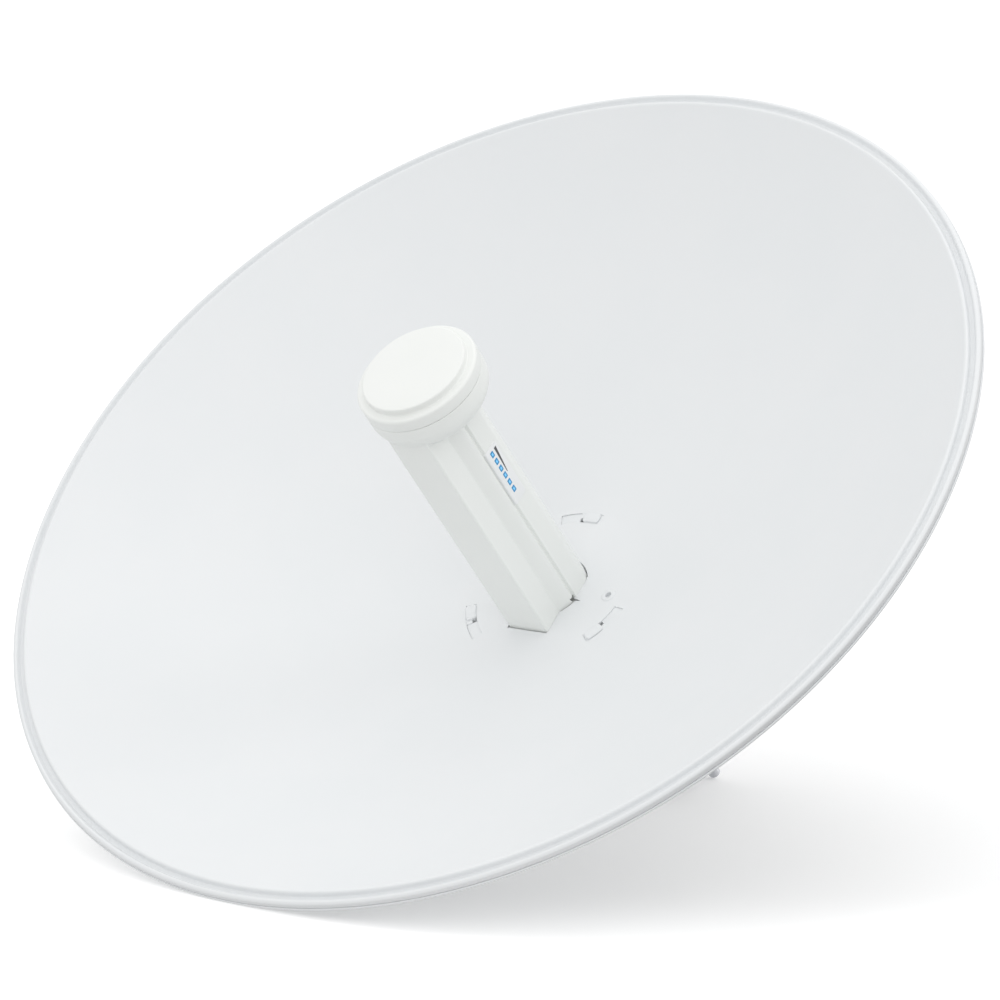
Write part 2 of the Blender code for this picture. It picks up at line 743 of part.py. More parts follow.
def hexagon():
    """Outline of a hexagon head or nut."""
    return circle(M8_HEX / math.cos(math.pi / 6.0), count=6)


def build_clamp_bolts(kit):
    """Two long carriage bolts with their washers and nuts."""
    washer_top = CLAMP_WEB - GAP
    nut_top = washer_top - WASHER - GAP
    bore = circle(M8 + GAP, count=24)
    ring = [circle(WASHER_RADIUS, count=28), bore]
    for side in (-1, 1):
        word = side_word(side)
        bolt_mesh = turned_mesh("clamp_bolt", clamp_bolt_profile(), 24)
        washer_mesh = plate_mesh("clamp_washer", ring, washer_top - WASHER, washer_top)
        nut_mesh = plate_mesh("clamp_nut", [hexagon(), bore], nut_top - M8_NUT, nut_top)
        bolt = kit.add(f"clamp_bolt_{word}", bolt_mesh, kit.bolt)
        washer = kit.add(f"clamp_washer_{word}", washer_mesh, kit.bolt)
        nut = kit.add(f"clamp_nut_{word}", nut_mesh, kit.bolt)
        smooth(bolt)
        for piece in (bolt, washer, nut):
            piece.location.x = side * BOLT_X * MM


def build_side_bolt(kit, name, place, side):
    """One bolt through an ear and the channel, with its nut inside."""
    word = side_word(side)
    head_seat = EAR_OUTSIDE + GAP
    nut_seat = CHANNEL_OUTSIDE - STEEL - GAP
    end = nut_seat - M8_NUT - THREAD_PROUD
    bore = circle(M8 + GAP, count=20)
    head = plate_mesh("head", [hexagon()], head_seat, head_seat + M8_HEAD)
    shank = plate_mesh("shank", [circle(M8, count=20)], end, head_seat + M8_HEAD / 2.0)
    nut = plate_mesh("nut", [hexagon(), bore], nut_seat - M8_NUT, nut_seat)
    bolt_piece = kit.add(f"{name}_bolt_{word}", head, kit.bolt)
    shank_piece = kit.add_cutter(f"{name}_shank_{word}", shank)
    nut_piece = kit.add(f"{name}_nut_{word}", nut, kit.bolt)
    fuse(bolt_piece, shank_piece)
    for piece in (bolt_piece, shank_piece, nut_piece):
        piece.location = Vector((0.0, *place)) * MM
        piece.rotation_euler = (0.0, math.radians(90.0 * side), 0.0)


def build_side_bolts(kit):
    """Pivot and lock bolts through the ears."""
    for side in (-1, 1):
        build_side_bolt(kit, "pivot", (PIVOT_Y, PIVOT_Z), side)
        build_side_bolt(kit, "lock", lock_place(), side)


def build_web_screws(kit):
    """Four screws that hold the bracket's web to the hub."""
    seat = WEB_FRONT - STEEL - GAP
    low, end = seat - SCREW_HEIGHT, seat + STEEL
    profile = [(0.0, end), (SCREW_SHANK, end), (SCREW_SHANK, seat)]
    profile += [(SCREW_HEAD, seat), (SCREW_HEAD, low + SCREW_EDGE)]
    profile += [(SCREW_HEAD - SCREW_EDGE, low), (0.0, low)]
    for number, (x, y) in enumerate(SCREW_PLACES, 1):
        screw = kit.add(f"web_screw_{number}", turned_mesh("web_screw", profile, 20), kit.bolt)
        screw.location = (x * MM, y * MM, 0.0)
        smooth(screw)


def set_on_floor(kit):
    """Move the carrying empty: the lowest point to Z 0, the middle to X and Y 0."""
    graph = bpy.context.evaluated_depsgraph_get()
    corners = []
    for piece in kit.parts.objects:
        if piece.type == "MESH":
            solid = piece.evaluated_get(graph)
            corners += [solid.matrix_world @ vertex.co for vertex in solid.data.vertices]
    low = [min(corner[axis] for corner in corners) for axis in range(3)]
    high = [max(corner[axis] for corner in corners) for axis in range(3)]
    kit.frame.location = (-(low[0] + high[0]) / 2.0, -(low[1] + high[1]) / 2.0, -low[2])


def main():
    """Build the antenna."""
    clear_scene()
    kit = Kit()
    build_reflector(kit)
    build_hub(kit)
    build_tower(kit)
    build_panel(kit)
    build_collar(kit)
    build_cap(kit)
    build_housing(kit)
    build_dish_bracket(kit)
    build_pole_bracket(kit)
    build_pole_clamp(kit)
    build_clamp_bolts(kit)
    build_side_bolts(kit)
    build_web_screws(kit)
    set_on_floor(kit)


main()
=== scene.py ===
"""Looks for the parabolic dish antenna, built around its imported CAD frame.

Every new piece is worked out in the dish frame, in millimetres: Z is the axis
of the paraboloid and points out of the bowl, the middle of the rim plane is the
origin, and +X is the side with the indicator panel. DishFrame turns these
points to the frame of the part, in metres.
"""

import json
import logging
import math
from dataclasses import dataclass, field
from enum import Enum
from functools import cache
from typing import Optional, Sequence, Union

import bmesh
import bpy
import numpy as np
from mathutils import Matrix, Vector

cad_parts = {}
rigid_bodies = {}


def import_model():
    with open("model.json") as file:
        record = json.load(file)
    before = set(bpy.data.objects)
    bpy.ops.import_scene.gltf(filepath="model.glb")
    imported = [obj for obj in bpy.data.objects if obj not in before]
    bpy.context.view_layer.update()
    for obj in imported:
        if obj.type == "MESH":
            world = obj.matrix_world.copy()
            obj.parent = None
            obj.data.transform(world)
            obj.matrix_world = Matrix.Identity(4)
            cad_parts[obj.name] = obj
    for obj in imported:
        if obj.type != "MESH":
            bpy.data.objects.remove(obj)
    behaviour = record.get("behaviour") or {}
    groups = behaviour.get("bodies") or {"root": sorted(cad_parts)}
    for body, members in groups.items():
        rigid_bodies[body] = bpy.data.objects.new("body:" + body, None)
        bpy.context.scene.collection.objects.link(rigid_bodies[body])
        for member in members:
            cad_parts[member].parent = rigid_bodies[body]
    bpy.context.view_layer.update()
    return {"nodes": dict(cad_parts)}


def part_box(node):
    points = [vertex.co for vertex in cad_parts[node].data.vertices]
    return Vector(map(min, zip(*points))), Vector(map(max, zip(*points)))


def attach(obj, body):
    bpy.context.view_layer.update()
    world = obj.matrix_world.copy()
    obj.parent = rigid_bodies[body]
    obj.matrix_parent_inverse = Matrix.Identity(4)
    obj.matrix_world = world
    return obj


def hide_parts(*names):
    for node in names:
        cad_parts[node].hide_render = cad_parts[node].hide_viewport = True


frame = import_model()

LOG = logging.getLogger("dish_antenna")
MM = 0.001
WELD = 2e-6
COPY_WELD = 1e-6
COPY_ANGLE = 30.0
LEVEL_ANGLE = 0.5
CORNER_STEPS = 5
SIDE_STEPS = 8
WHITE = (1.0, 1.0, 1.0, 1.0)

Array = np.ndarray
Pair = tuple[float, float]
Triple = tuple[float, float, float]


# ---------------------------------------------------------------- dish frame


@dataclass(frozen=True)
class DishFrame:
    """The dish's own axes, and where they stand in the frame of the part."""

    elevation: float = 48.0
    panel_centre: Triple = (20.95, 1.55, 7.9)

    def turn(self) -> Array:
        """Rotation about X that leans the dish axis back to its elevation."""
        return np.array(Matrix.Rotation(math.radians(90.0 - self.elevation), 3, "X"))

    def origin(self) -> Array:
        """Middle of the rim plane in metres, found from the indicator panel's node.

        Returns:
            Array of shape (3,), with X at 0.
        """
        low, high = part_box("indicator_panel")
        middle = (np.array(low) + np.array(high)) / 2.0
        origin = middle - self.turn() @ np.array(self.panel_centre) * MM
        return origin * np.array([0.0, 1.0, 1.0])

    def place(self, points: Array) -> Array:
        """Points of the dish frame, in millimetres, as points of the part in metres."""
        return points.reshape(-1, 3) @ self.turn().T * MM + self.origin()

    def local(self, points: Array) -> Array:
        """Points of the part, in metres, as points of the dish frame in millimetres."""
        return (points.reshape(-1, 3) - self.origin()) @ self.turn() / MM


DISH = DishFrame()


@dataclass(frozen=True)
class DishCurve:
    """The reflecting surface by its radius: a level middle, then a parabola."""

    depth: float = 106.0
    flat: float = 60.0
    blend: float = 800.0
    radius: float = 315.0
    height: float = 5.0

    def at(self, radius: Union[float, Array]) -> Union[float, Array]:
        """Height: -depth + (height + depth) * beyond / (radius^2 - flat^2).

        Beyond is the soft positive part of p = r^2 - flat^2 at the distance r:
        (p + sqrt(p^2 + blend^2)) / 2.

        Args:
            radius: Distance from the axis.

        Returns:
            Height at that distance.
        """
        beyond = radius**2 - self.flat**2
        beyond = (beyond + np.hypot(beyond, self.blend)) / 2.0
        share = beyond / (self.radius**2 - self.flat**2)
        return -self.depth + (self.height + self.depth) * share


CURVE = DishCurve()


# ------------------------------------------------------------- numpy shapes


def smoothstep(low: float, high: float, value: Array) -> Array:
    """Ease from 0 at low to 1 at high: 3t^2 - 2t^3 of the clipped share t."""
    share = np.clip((value - low) / (high - low), 0.0, 1.0)
    return share * share * (3.0 - 2.0 * share)


def bump(middle: float, half: float, soft: float, value: Array) -> Array:
    """1 within half of middle, falling to 0 over the next soft units."""
    return 1.0 - smoothstep(half, half + soft, np.abs(value - middle))


def smooth_max(first: Array, second: Array, blend: float) -> Array:
    """Larger of two arrays, rounded over k: (a + b + sqrt((a - b)^2 + k^2)) / 2 - k / 4."""
    return (first + second + np.hypot(first - second, blend)) / 2.0 - blend / 4.0


def even_turns(columns: int) -> Array:
    """Angles in radians that go once round the axis in even steps from +X."""
    return np.arange(columns) * math.tau / columns


def polar(radius: Array, turn: Array, height: Union[float, Array]) -> Array:
    """Points (r cos a, r sin a, z), with the three arrays spread to one shape."""
    parts = (radius * np.cos(turn), radius * np.sin(turn), height)
    return np.stack(np.broadcast_arrays(*parts), axis=-1)


def arc_points(centre: Pair, radius: float, start: float, end: float, count: int) -> Array:
    """Points of an arc: centre + radius * (cos a, sin a), a from start to end.

    Args:
        centre: Middle of the arc.
        radius: Radius of the arc.
        start: First angle in degrees.
        end: Last angle in degrees.
        count: Number of points.

    Returns:
        Array of shape (count, 2).
    """
    angle = np.radians(np.linspace(start, end, count))
    return np.array(centre) + radius * np.stack([np.cos(angle), np.sin(angle)], axis=1)


def rounded_box(half: Pair, corner: float, inset: float = 0.0) -> Array:
    """Rectangle with round corners, drawn inwards by inset.

    Four quarter arcs whose centres stay in place while their radius shrinks.

    Args:
        half: Half width and half height.
        corner: Radius of the corners.
        inset: How far the outline is drawn in.

    Returns:
        Array of shape (4 * CORNER_STEPS, 2).
    """
    x, y = half[0] - corner, half[1] - corner
    centres = ((x, y), (-x, y), (-x, -y), (x, -y))
    arcs = [
        arc_points(centre, corner - inset, 90.0 * i, 90.0 * (i + 1), CORNER_STEPS)
        for i, centre in enumerate(centres)
    ]
    return np.concatenate(arcs)


def revolve(profile: Sequence[Pair], columns: int) -> Array:
    """Carry a profile of (radius, height) round the axis, as (rows, columns, 3)."""
    line = np.asarray(profile, float)
    return polar(line[:, :1], even_turns(columns), line[:, 1:])


def loft(outlines: Sequence[Array], heights: Sequence[float]) -> Array:
    """Stack flat outlines of (x, y) at their heights along Z.

    Args:
        outlines: One outline for each height, all with the same number of points.
        heights: Height of each outline.

    Returns:
        Grid of shape (rows, columns, 3).
    """
    rings = np.stack(outlines)
    level = np.broadcast_to(np.asarray(heights, float)[:, None, None], (*rings.shape[:2], 1))
    return np.concatenate([rings, level], axis=2)


def closed_ends(grid: Array) -> Array:
    """Add a ring at each end that has shrunk to the middle of that end's ring.

    Args:
        grid: Points of shape (rows, columns, 3).

    Returns:
        Grid with two rows more.
    """
    first, last = (
        np.broadcast_to(ring.mean(axis=1, keepdims=True), ring.shape)
        for ring in (grid[:1], grid[-1:])
    )
    return np.concatenate([first, grid, last])


def grid_faces(rows: int, columns: int, wrap_rows: bool) -> Array:
    """Corner numbers of a grid's quads; the columns always close on themselves.

    Args:
        rows: Number of rings.
        columns: Number of points in a ring.
        wrap_rows: Whether the last ring joins the first.

    Returns:
        Array of shape (faces, 4).
    """
    here = np.arange(rows if wrap_rows else rows - 1)[:, None] * columns
    below = (here + columns) % (rows * columns)
    across = np.arange(columns)[None, :]
    beside = (across + 1) % columns
    corners = np.broadcast_arrays(here + across, here + beside, below + beside, below + across)
    return np.stack(corners, axis=2).reshape(-1, 4)


def ray_radius(outline: Array, angles: Array) -> Array:
    """Distance from the axis to a star-shaped outline in each direction.

    A ray meets the side from p to p + s that spans its angle at the radius
    (p x s) / (ray x s).

    Args:
        outline: Closed outline of shape (n, 2).
        angles: Angles in radians.

    Returns:
        Radius at each angle.
    """
    turn = np.arctan2(outline[:, 1], outline[:, 0])
    order = np.argsort(turn)
    order = np.concatenate([order[-1:], order, order[:1]])
    turn, points = turn[order], outline[order]
    turn[0] -= math.tau
    turn[-1] += math.tau
    angles = (angles + math.pi) % math.tau - math.pi
    after = np.clip(np.searchsorted(turn, angles, side="right"), 1, len(turn) - 1)
    first = points[after - 1]
    step = points[after] - first
    cross = np.cos(angles) * step[:, 1] - np.sin(angles) * step[:, 0]
    return (first[:, 0] * step[:, 1] - first[:, 1] * step[:, 0]) / cross


# --------------------------------------------------------------- mesh making


def linked(name: str, data: bpy.types.ID) -> bpy.types.Object:
    """Put data into the scene as a new object.

    Args:
        name: Name of the object.
        data: Its mesh, light or camera.

    Returns:
        The object.
    """
    piece = bpy.data.objects.new(name, data)
    bpy.context.scene.collection.objects.link(piece)
    return piece


def clean_mesh(mesh: bpy.types.Mesh) -> None:
    """Merge a mesh's doubles and point its faces outwards.

    Args:
        mesh: Mesh to clean in place.
    """
    work = bmesh.new()
    work.from_mesh(mesh)
    bmesh.ops.remove_doubles(work, verts=work.verts, dist=WELD)
    bmesh.ops.dissolve_degenerate(work, edges=work.edges, dist=WELD / 4.0)
    bmesh.ops.recalc_face_normals(work, faces=work.faces)
    if work.calc_volume(signed=True) < 0.0:
        bmesh.ops.reverse_faces(work, faces=work.faces)
    work.to_mesh(mesh)
    work.free()


def shade(mesh: bpy.types.Mesh, angle: float) -> None:
    """Smooth shading with edges over the angle (in degrees) kept sharp."""
    mesh.shade_smooth()
    mesh.set_sharp_from_angle(angle=math.radians(angle))


@dataclass
class Surface:
    """Grids of one piece, joined as separate shells of one mesh."""

    name: str
    sharp: float = 32.0
    grids: list[tuple[Array, bool, Optional[Array]]] = field(default_factory=list)

    def add(self, grid: Array, wrap_rows: bool = False, keep: Optional[Array] = None) -> "Surface":
        """Add a grid.

        Args:
            grid: Points of shape (rows, columns, 3) in the dish frame.
            wrap_rows: Whether the last ring joins the first.
            keep: Mask of the faces that stay, in the order of grid_faces.

        Returns:
            The surface itself.
        """
        self.grids.append((grid, wrap_rows, keep))
        return self

    def ring(self, grid: Array) -> "Surface":
        """Add a grid whose last ring joins the first."""
        return self.add(grid, wrap_rows=True)

    def solid(self, grid: Array) -> "Surface":
        """Add a grid whose two ends are closed."""
        return self.add(closed_ends(grid))

    def build(self) -> bpy.types.Object:
        """Put the grids into one mesh object at the origin, in metres.

        Returns:
            The object.
        """
        points, faces, offset = [], [], 0
        for grid, wrap_rows, keep in self.grids:
            quads = grid_faces(grid.shape[0], grid.shape[1], wrap_rows)
            faces.append((quads if keep is None else quads[keep]) + offset)
            points.append(DISH.place(grid))
            offset += grid.shape[0] * grid.shape[1]
        mesh = bpy.data.meshes.new(self.name)
        mesh.from_pydata(np.concatenate(points), [], np.concatenate(faces))
        clean_mesh(mesh)
        shade(mesh, self.sharp)
        return linked(self.name, mesh)


def dressed_copy(node: str, name: str, width: float = 0.0) -> bpy.types.Object:
    """Copy a CAD node's mesh and merge it, then round its edges or even out its shading.

    Args:
        node: Name of the CAD node.
        name: Name of the new piece.
        width: Width of the rounded edges in millimetres, or 0 for plain edges.

    Returns:
        The new piece.
    """
    mesh = frame["nodes"][node].data.copy()
    mesh.name = name
    work = bmesh.new()
    work.from_mesh(mesh)
    bmesh.ops.remove_doubles(work, verts=work.verts, dist=COPY_WELD)
    if width:
        level = math.radians(LEVEL_ANGLE)
        bmesh.ops.dissolve_limit(work, angle_limit=level, verts=work.verts, edges=work.edges)
    work.to_mesh(mesh)
    work.free()
    piece = linked(name, mesh)
    shade(mesh, COPY_ANGLE)
    if width:
        bevel = piece.modifiers.new("Edges", "BEVEL")
        bevel.width, bevel.segments = width * MM, 2
        bevel.limit_method, bevel.angle_limit = "ANGLE", math.radians(COPY_ANGLE)
        bevel.harden_normals = True
    else:
        normals = piece.modifiers.new("Even", "WEIGHTED_NORMAL")
        normals.keep_sharp, normals.weight = True, 100
    return piece


def carve(piece: bpy.types.Object, cutters: Sequence[bpy.types.Object], sharp: float) -> None:
    """Apply a piece's modifiers, take the cutters out of it and shade it again.

    Args:
        piece: Object that is cut.
        cutters: Closed solids, which are removed afterwards.
        sharp: Edges over this angle stay sharp, in degrees.
    """
    for cutter in cutters:
        cut = piece.modifiers.new("Cut", "BOOLEAN")
        cut.operation, cut.solver, cut.object = "DIFFERENCE", "EXACT", cutter
    graph = bpy.context.evaluated_depsgraph_get()
    mesh = bpy.data.meshes.new_from_object(piece.evaluated_get(graph))
    piece.modifiers.clear()
    piece.data = mesh
    for cutter in cutters:
        bpy.data.objects.remove(cutter)
    shade(mesh, sharp)


def hand_in(piece: bpy.types.Object, finish: "Finish", slot: str, *nodes: str) -> None:
    """Give a piece its finish and body, and hide the CAD nodes that it stands for.

    Args:
        piece: Finished object.
        finish: Finish of the whole piece.
        slot: Name of the record's material slot; not used.
        nodes: CAD nodes that the piece stands for.
    """
    piece.data.materials.clear()
    piece.data.materials.append(material(finish))
    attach(piece, "root")
    if nodes:
        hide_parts(*nodes)
    LOG.info("%s: %d faces", piece.name, len(piece.data.polygons))


# -------------------------------------------------------------- shader maths


@dataclass(frozen=True)
class Noise:
    """Even noise from 0 to 1: about its grain in millimetres, detail and roughness."""

    grain: float
    detail: float = 2.0
    rough: float = 0.5


class Value:
    """A socket that carries one number or colour and takes part in expressions."""

    def __init__(self, graph: "Graph", socket: bpy.types.NodeSocket) -> None:
        """Wrap an output socket of a graph."""
        self.graph = graph
        self.socket = socket

    def _math(self, operation: str, first: object, second: object = 0.0) -> "Value":
        """Add a Math node."""
        return self.graph.node("ShaderNodeMath", {"operation": operation}, {0: first, 1: second})

    def __add__(self, other: object) -> "Value":
        """Sum."""
        return self._math("ADD", self, other)

    def __sub__(self, other: object) -> "Value":
        """Difference."""
        return self._math("SUBTRACT", self, other)

    def __rsub__(self, other: object) -> "Value":
        """Difference from a number."""
        return self._math("SUBTRACT", other, self)

    def __mul__(self, other: object) -> "Value":
        """Product."""
        return self._math("MULTIPLY", self, other)

    __radd__ = __add__
    __rmul__ = __mul__

    def absolute(self) -> "Value":
        """Value without its sign."""
        return self._math("ABSOLUTE", self)

    def larger(self, other: object) -> "Value":
        """Larger of two values."""
        return self._math("MAXIMUM", self, other)

    def between(self, low: float, high: float) -> "Value":
        """Ease from 0 at low to 1 at high."""
        values = {"Value": self, "From Min": low, "From Max": high}
        return self.graph.node("ShaderNodeMapRange", {"interpolation_type": "SMOOTHSTEP"}, values)


class Graph:
    """The node tree of one material."""

    def __init__(self, name: str) -> None:
        """Start an empty material.

        Args:
            name: Name of the material.
        """
        self.material = bpy.data.materials.new(name)
        self.material.use_nodes = True
        self.tree = self.material.node_tree
        self.tree.nodes.clear()

    def node(
        self, kind: str, settings: dict, values: dict, output: Union[int, str] = 0
    ) -> Optional[Value]:
        """Add a node.

        Args:
            kind: Blender's name of the node's type.
            settings: Properties that are set first.
            values: Numbers, colours or links of its input sockets, by name or place.
            output: Name or place of the output socket that is wanted.

        Returns:
            The output socket, ready for expressions, or None where the node has none.
        """
        node = self.tree.nodes.new(kind)
        for key, value in settings.items():
            setattr(node, key, value)
        for key, value in values.items():
            if isinstance(value, Value):
                self.tree.links.new(value.socket, node.inputs[key])
            else:
                node.inputs[key].default_value = value
        return Value(self, node.outputs[output]) if node.outputs else None

    def objects(self) -> Value:
        """Object coordinates, in metres."""
        return self.node("ShaderNodeTexCoord", {}, {}, "Object")

    def noise(self, noise: Noise) -> Value:
        """Noise on object coordinates.

        Args:
            noise: Its grain, detail and roughness.

        Returns:
            Value from 0 to 1.
        """
        values = {"Vector": self.objects(), "Scale": 1.0 / (noise.grain * MM)}
        values |= {"Detail": noise.detail, "Roughness": noise.rough}
        return self.node("ShaderNodeTexNoise", {}, values, "Fac")

    def mix(self, share: Value, first: Triple, second: Triple) -> Value:
        """Mix two colours by a share from 0 to 1."""
        values = {"Factor": share, 6: (*first, 1.0), 7: (*second, 1.0)}
        return self.node("ShaderNodeMix", {"data_type": "RGBA"}, values, 2)

    def bump_normal(self, height: Value, distance: float, strength: float) -> Value:
        """Normal from a height from 0 to 1 that stands for the distance in millimetres."""
        values = {"Height": height, "Distance": distance * MM, "Strength": strength}
        return self.node("ShaderNodeBump", {}, values, "Normal")

    def surface(self, values: dict) -> bpy.types.Material:
        """Finish the material with a Principled shader.

        Args:
            values: Numbers, colours or links of the shader's sockets.

        Returns:
            The material.
        """
        shader = self.node("ShaderNodeBsdfPrincipled", {}, values)
        self.node("ShaderNodeOutputMaterial", {}, {"Surface": shader})
        return self.material


def weighted(base: float, weights: Sequence[float], values: Sequence[Value]) -> object:
    """The base plus each value times its weight, without the values of weight 0."""
    return sum((weight * value for weight, value in zip(weights, values) if weight), base)


# ------------------------------------------------------------------ finishes


@dataclass(frozen=True)
class Grained:
    """Two close tones mixed by a slow noise, with gloss and height from finer ones.

    Gloss holds the weights of the tone and of each grain in the roughness, and
    relief those of the grains in the height. Bump is the height's distance in
    millimetres and its strength.
    """

    name: str
    shade: Triple
    colour: Triple
    roughness: float
    tone: Noise
    grains: tuple[Noise, ...]
    gloss: tuple[float, ...]
    relief: tuple[float, ...] = (1.0,)
    bump: Pair = (0.01, 0.4)
    eased: bool = False
    metallic: float = 0.0
    specular: float = 0.5

    def build(self) -> bpy.types.Material:
        """Mix the tones, and sum the gloss and the height from noise to noise.

        Returns:
            The material.
        """
        g = Graph(self.name)
        tone = g.noise(self.tone)
        if self.eased:
            tone = tone.between(0.3, 0.7)
        grains = [g.noise(grain) for grain in self.grains]
        values = {
            "Base Color": g.mix(tone, self.shade, self.colour),
            "Metallic": self.metallic,
            "Roughness": weighted(self.roughness, self.gloss, [tone, *grains]),
            "Specular IOR Level": self.specular,
        }
        if grains:
            height = weighted(0.0, self.relief, grains)
            values["Normal"] = g.bump_normal(height, *self.bump)
        return g.surface(values)


def moulded(name: str, shade_colour: Triple, colour: Triple, roughness: float) -> Grained:
    """White moulded plastic with a slight flow tone and a fine spark-eroded grain.

    Args:
        name: Name of the material.
        shade_colour: Darker tone.
        colour: Lighter tone.
        roughness: Roughness without the grain's share.

    Returns:
        The finish.
    """
    tone, grain = Noise(45.0), Noise(0.5, 2.0, 0.6)
    return Grained(
        name, shade_colour, colour, roughness, tone, (grain,), (0.0, 0.12),
        bump=(0.02, 0.5), eased=True, specular=0.45,
    )  # fmt: skip


@dataclass(frozen=True)
class WindowGlow:
    """Blue indicator window, bright in the middle and deeper at its rim."""

    name: str = "indicator_blue"
    middle: Triple = (0.19, 0.56, 0.90)
    rim: Triple = (0.03, 0.22, 0.45)
    fade: Pair = (0.12, 0.34)
    glow: float = 0.2
    roughness: float = 0.25

    def build(self) -> bpy.types.Material:
        """Colour by the larger distance from the window's middle, in its own UV map.

        Returns:
            The material.
        """
        g = Graph(self.name)
        place = g.node("ShaderNodeUVMap", {"uv_map": "window"}, {})
        across = g.node("ShaderNodeSeparateXYZ", {}, {0: place}, 0)
        along = g.node("ShaderNodeSeparateXYZ", {}, {0: place}, 1)
        distance = (across - 0.5).absolute().larger((along - 0.5).absolute())
        colour = g.mix(1.0 - distance.between(*self.fade), self.rim, self.middle)
        values = {"Base Color": colour, "Roughness": self.roughness}
        return g.surface(values | {"Emission Color": colour, "Emission Strength": self.glow})


@dataclass(frozen=True)
class Galvanised:
    """Zinc-coated sheet steel with a faint spangle and fine scuffs."""

    name: str = "zinc_sheet"
    shade: Triple = (0.44, 0.45, 0.465)
    colour: Triple = (0.60, 0.61, 0.62)
    roughness: float = 0.34
    metallic: float = 0.92
    spangle: float = 7.0
    cloud: Noise = Noise(24.0, 3.0)
    scuffs: Triple = (900.0, 140.0, 140.0)
    tones: Pair = (0.45, 0.55)
    gloss: Pair = (0.14, 0.12)
    relief: Pair = (0.6, 0.4)
    bump: Pair = (0.02, 0.35)

    def build(self) -> bpy.types.Material:
        """Crystal cells give the tone and gloss; stretched noise adds scuffs.

        Returns:
            The material.
        """
        g = Graph(self.name)
        values = {"Vector": g.objects(), "Scale": 1.0 / (self.spangle * MM)}
        cells = g.node("ShaderNodeTexVoronoi", {"feature": "F1"}, values, "Color")
        tone = g.node("ShaderNodeSeparateColor", {}, {0: cells}, 0)
        place = g.node("ShaderNodeMapping", {}, {"Vector": g.objects(), "Scale": self.scuffs})
        values = {"Vector": place, "Scale": 1.0, "Detail": 3.0}
        scuff = g.node("ShaderNodeTexNoise", {}, values, "Fac")
        share = weighted(0.0, self.tones, [tone, g.noise(self.cloud)])
        height = weighted(0.0, self.relief, [scuff, tone])
        return g.surface(
            {
                "Base Color": g.mix(share, self.shade, self.colour),
                "Metallic": self.metallic,
                "Roughness": weighted(self.roughness, self.gloss, [tone, scuff]),
                "Normal": g.bump_normal(height, *self.bump),
            }
        )


@dataclass(frozen=True)
class PaleFloor:
    """Plain matt studio floor."""

    name: str = "studio_ground"
    grey: float = 0.22
    glow: float = 0.505
    roughness: float = 0.7
    grain: Noise = Noise(200.0, 1.0)
    gloss: float = 0.1

    def glow_colour(self, g: Graph) -> object:
        """Colour of the glow: an even white."""
        return WHITE

    def build(self) -> bpy.types.Material:
        """One grey, matt, with a glow.

        Returns:
            The material.
        """
        g = Graph(self.name)
        return g.surface(
            {
                "Base Color": (self.grey, self.grey, self.grey, 1.0),
                "Roughness": self.roughness + self.gloss * g.noise(self.grain),
                "Specular IOR Level": 0.0,
                "Emission Color": self.glow_colour(g),
                "Emission Strength": self.glow,
            }
        )


@dataclass(frozen=True)
class StudioPaper(PaleFloor):
    """White paper whose glow grows towards the left and the front of the picture: painted light
    that lifts the antenna's cast shadow there.
    """

    name: str = "studio_floor"
    grey: float = 0.95
    glow: float = 0.33
    low: Triple = (0.38, 0.38, 0.38)
    right: Triple = (0.785, 0.619, 0.0)
    forward: Triple = (-0.619, 0.785, 0.0)
    # Spans where the glow is painted light that lifts the cast shadow on the paper.
    painted_light_left: Pair = (-0.04, -0.24)
    painted_light_front: Pair = (-0.16, -0.28)
    painted_light_front_share: float = 0.5

    def glow_colour(self, g: Graph) -> object:
        """Low grey that turns white over the left span, and half white over the front span: painted
        light over the cast shadow.

        Args:
            g: The material's node tree.

        Returns:
            The mixed colour.
        """
        dot, place = {"operation": "DOT_PRODUCT"}, g.objects()
        across = g.node("ShaderNodeVectorMath", dot, {0: place, 1: self.right}, "Value")
        along = g.node("ShaderNodeVectorMath", dot, {0: place, 1: self.forward}, "Value")
        # Painted light: the glow brightens the paper towards the left and the front, over the cast
        # shadow.
        front = along.between(*self.painted_light_front) * self.painted_light_front_share
        return g.mix(across.between(*self.painted_light_left).larger(front), self.low, WHITE[:3])


COOL_SHADE, COOL_WHITE = (0.777, 0.795, 0.806), (0.785, 0.80, 0.81)

# Add a level sheet.

class Finish(Enum):
    """The finishes of the antenna and of the studio."""

    PAINT = Grained(
        "reflector_powder_coat", COOL_SHADE, COOL_WHITE, 0.46, Noise(60.0, 3.0),
        (Noise(1.6, 2.0, 0.55), Noise(0.35, 1.0)), (-0.05, 0.10, 0.0), (0.7, 0.3),
        bump=(0.03, 0.6), eased=True, specular=0.4,
    )  # fmt: skip
    PLASTIC = moulded("housing_moulded_plastic", (0.825, 0.842, 0.82), (0.835, 0.85, 0.83), 0.42)
    HUB = moulded("hub_moulded_plastic", COOL_SHADE, COOL_WHITE, 0.45)
    FILM = Grained(
        "panel_satin_film", (0.8245, 0.8342, 0.83905), (0.85, 0.86, 0.865), 0.34,
        Noise(0.8, 1.0), (Noise(0.8, 1.0),), (0.0, 0.08),
    )  # fmt: skip
    INK = Grained(
        "signal_bar_ink", (0.055, 0.055, 0.06), (0.0935, 0.0935, 0.102), 0.38,
        Noise(0.6), (), (0.1,),
    )  # fmt: skip
    BOLT = Grained(
        "bright_zinc", (0.50, 0.51, 0.54), (0.66, 0.67, 0.69), 0.26,
        Noise(5.0, 3.0), (Noise(0.4),), (0.18, 0.06), metallic=1.0,
    )  # fmt: skip
    GLOW = WindowGlow()
    STEEL = Galvanised()
    PAPER = StudioPaper()
    GROUND = PaleFloor()
    DARK_GROUND = PaleFloor("studio_dark_ground", glow=0.0)


@cache
def material(finish: Finish) -> bpy.types.Material:
    """Material of a finish, built on first use."""
    return finish.value.build()


# ---------------------------------------------------------------- the tower


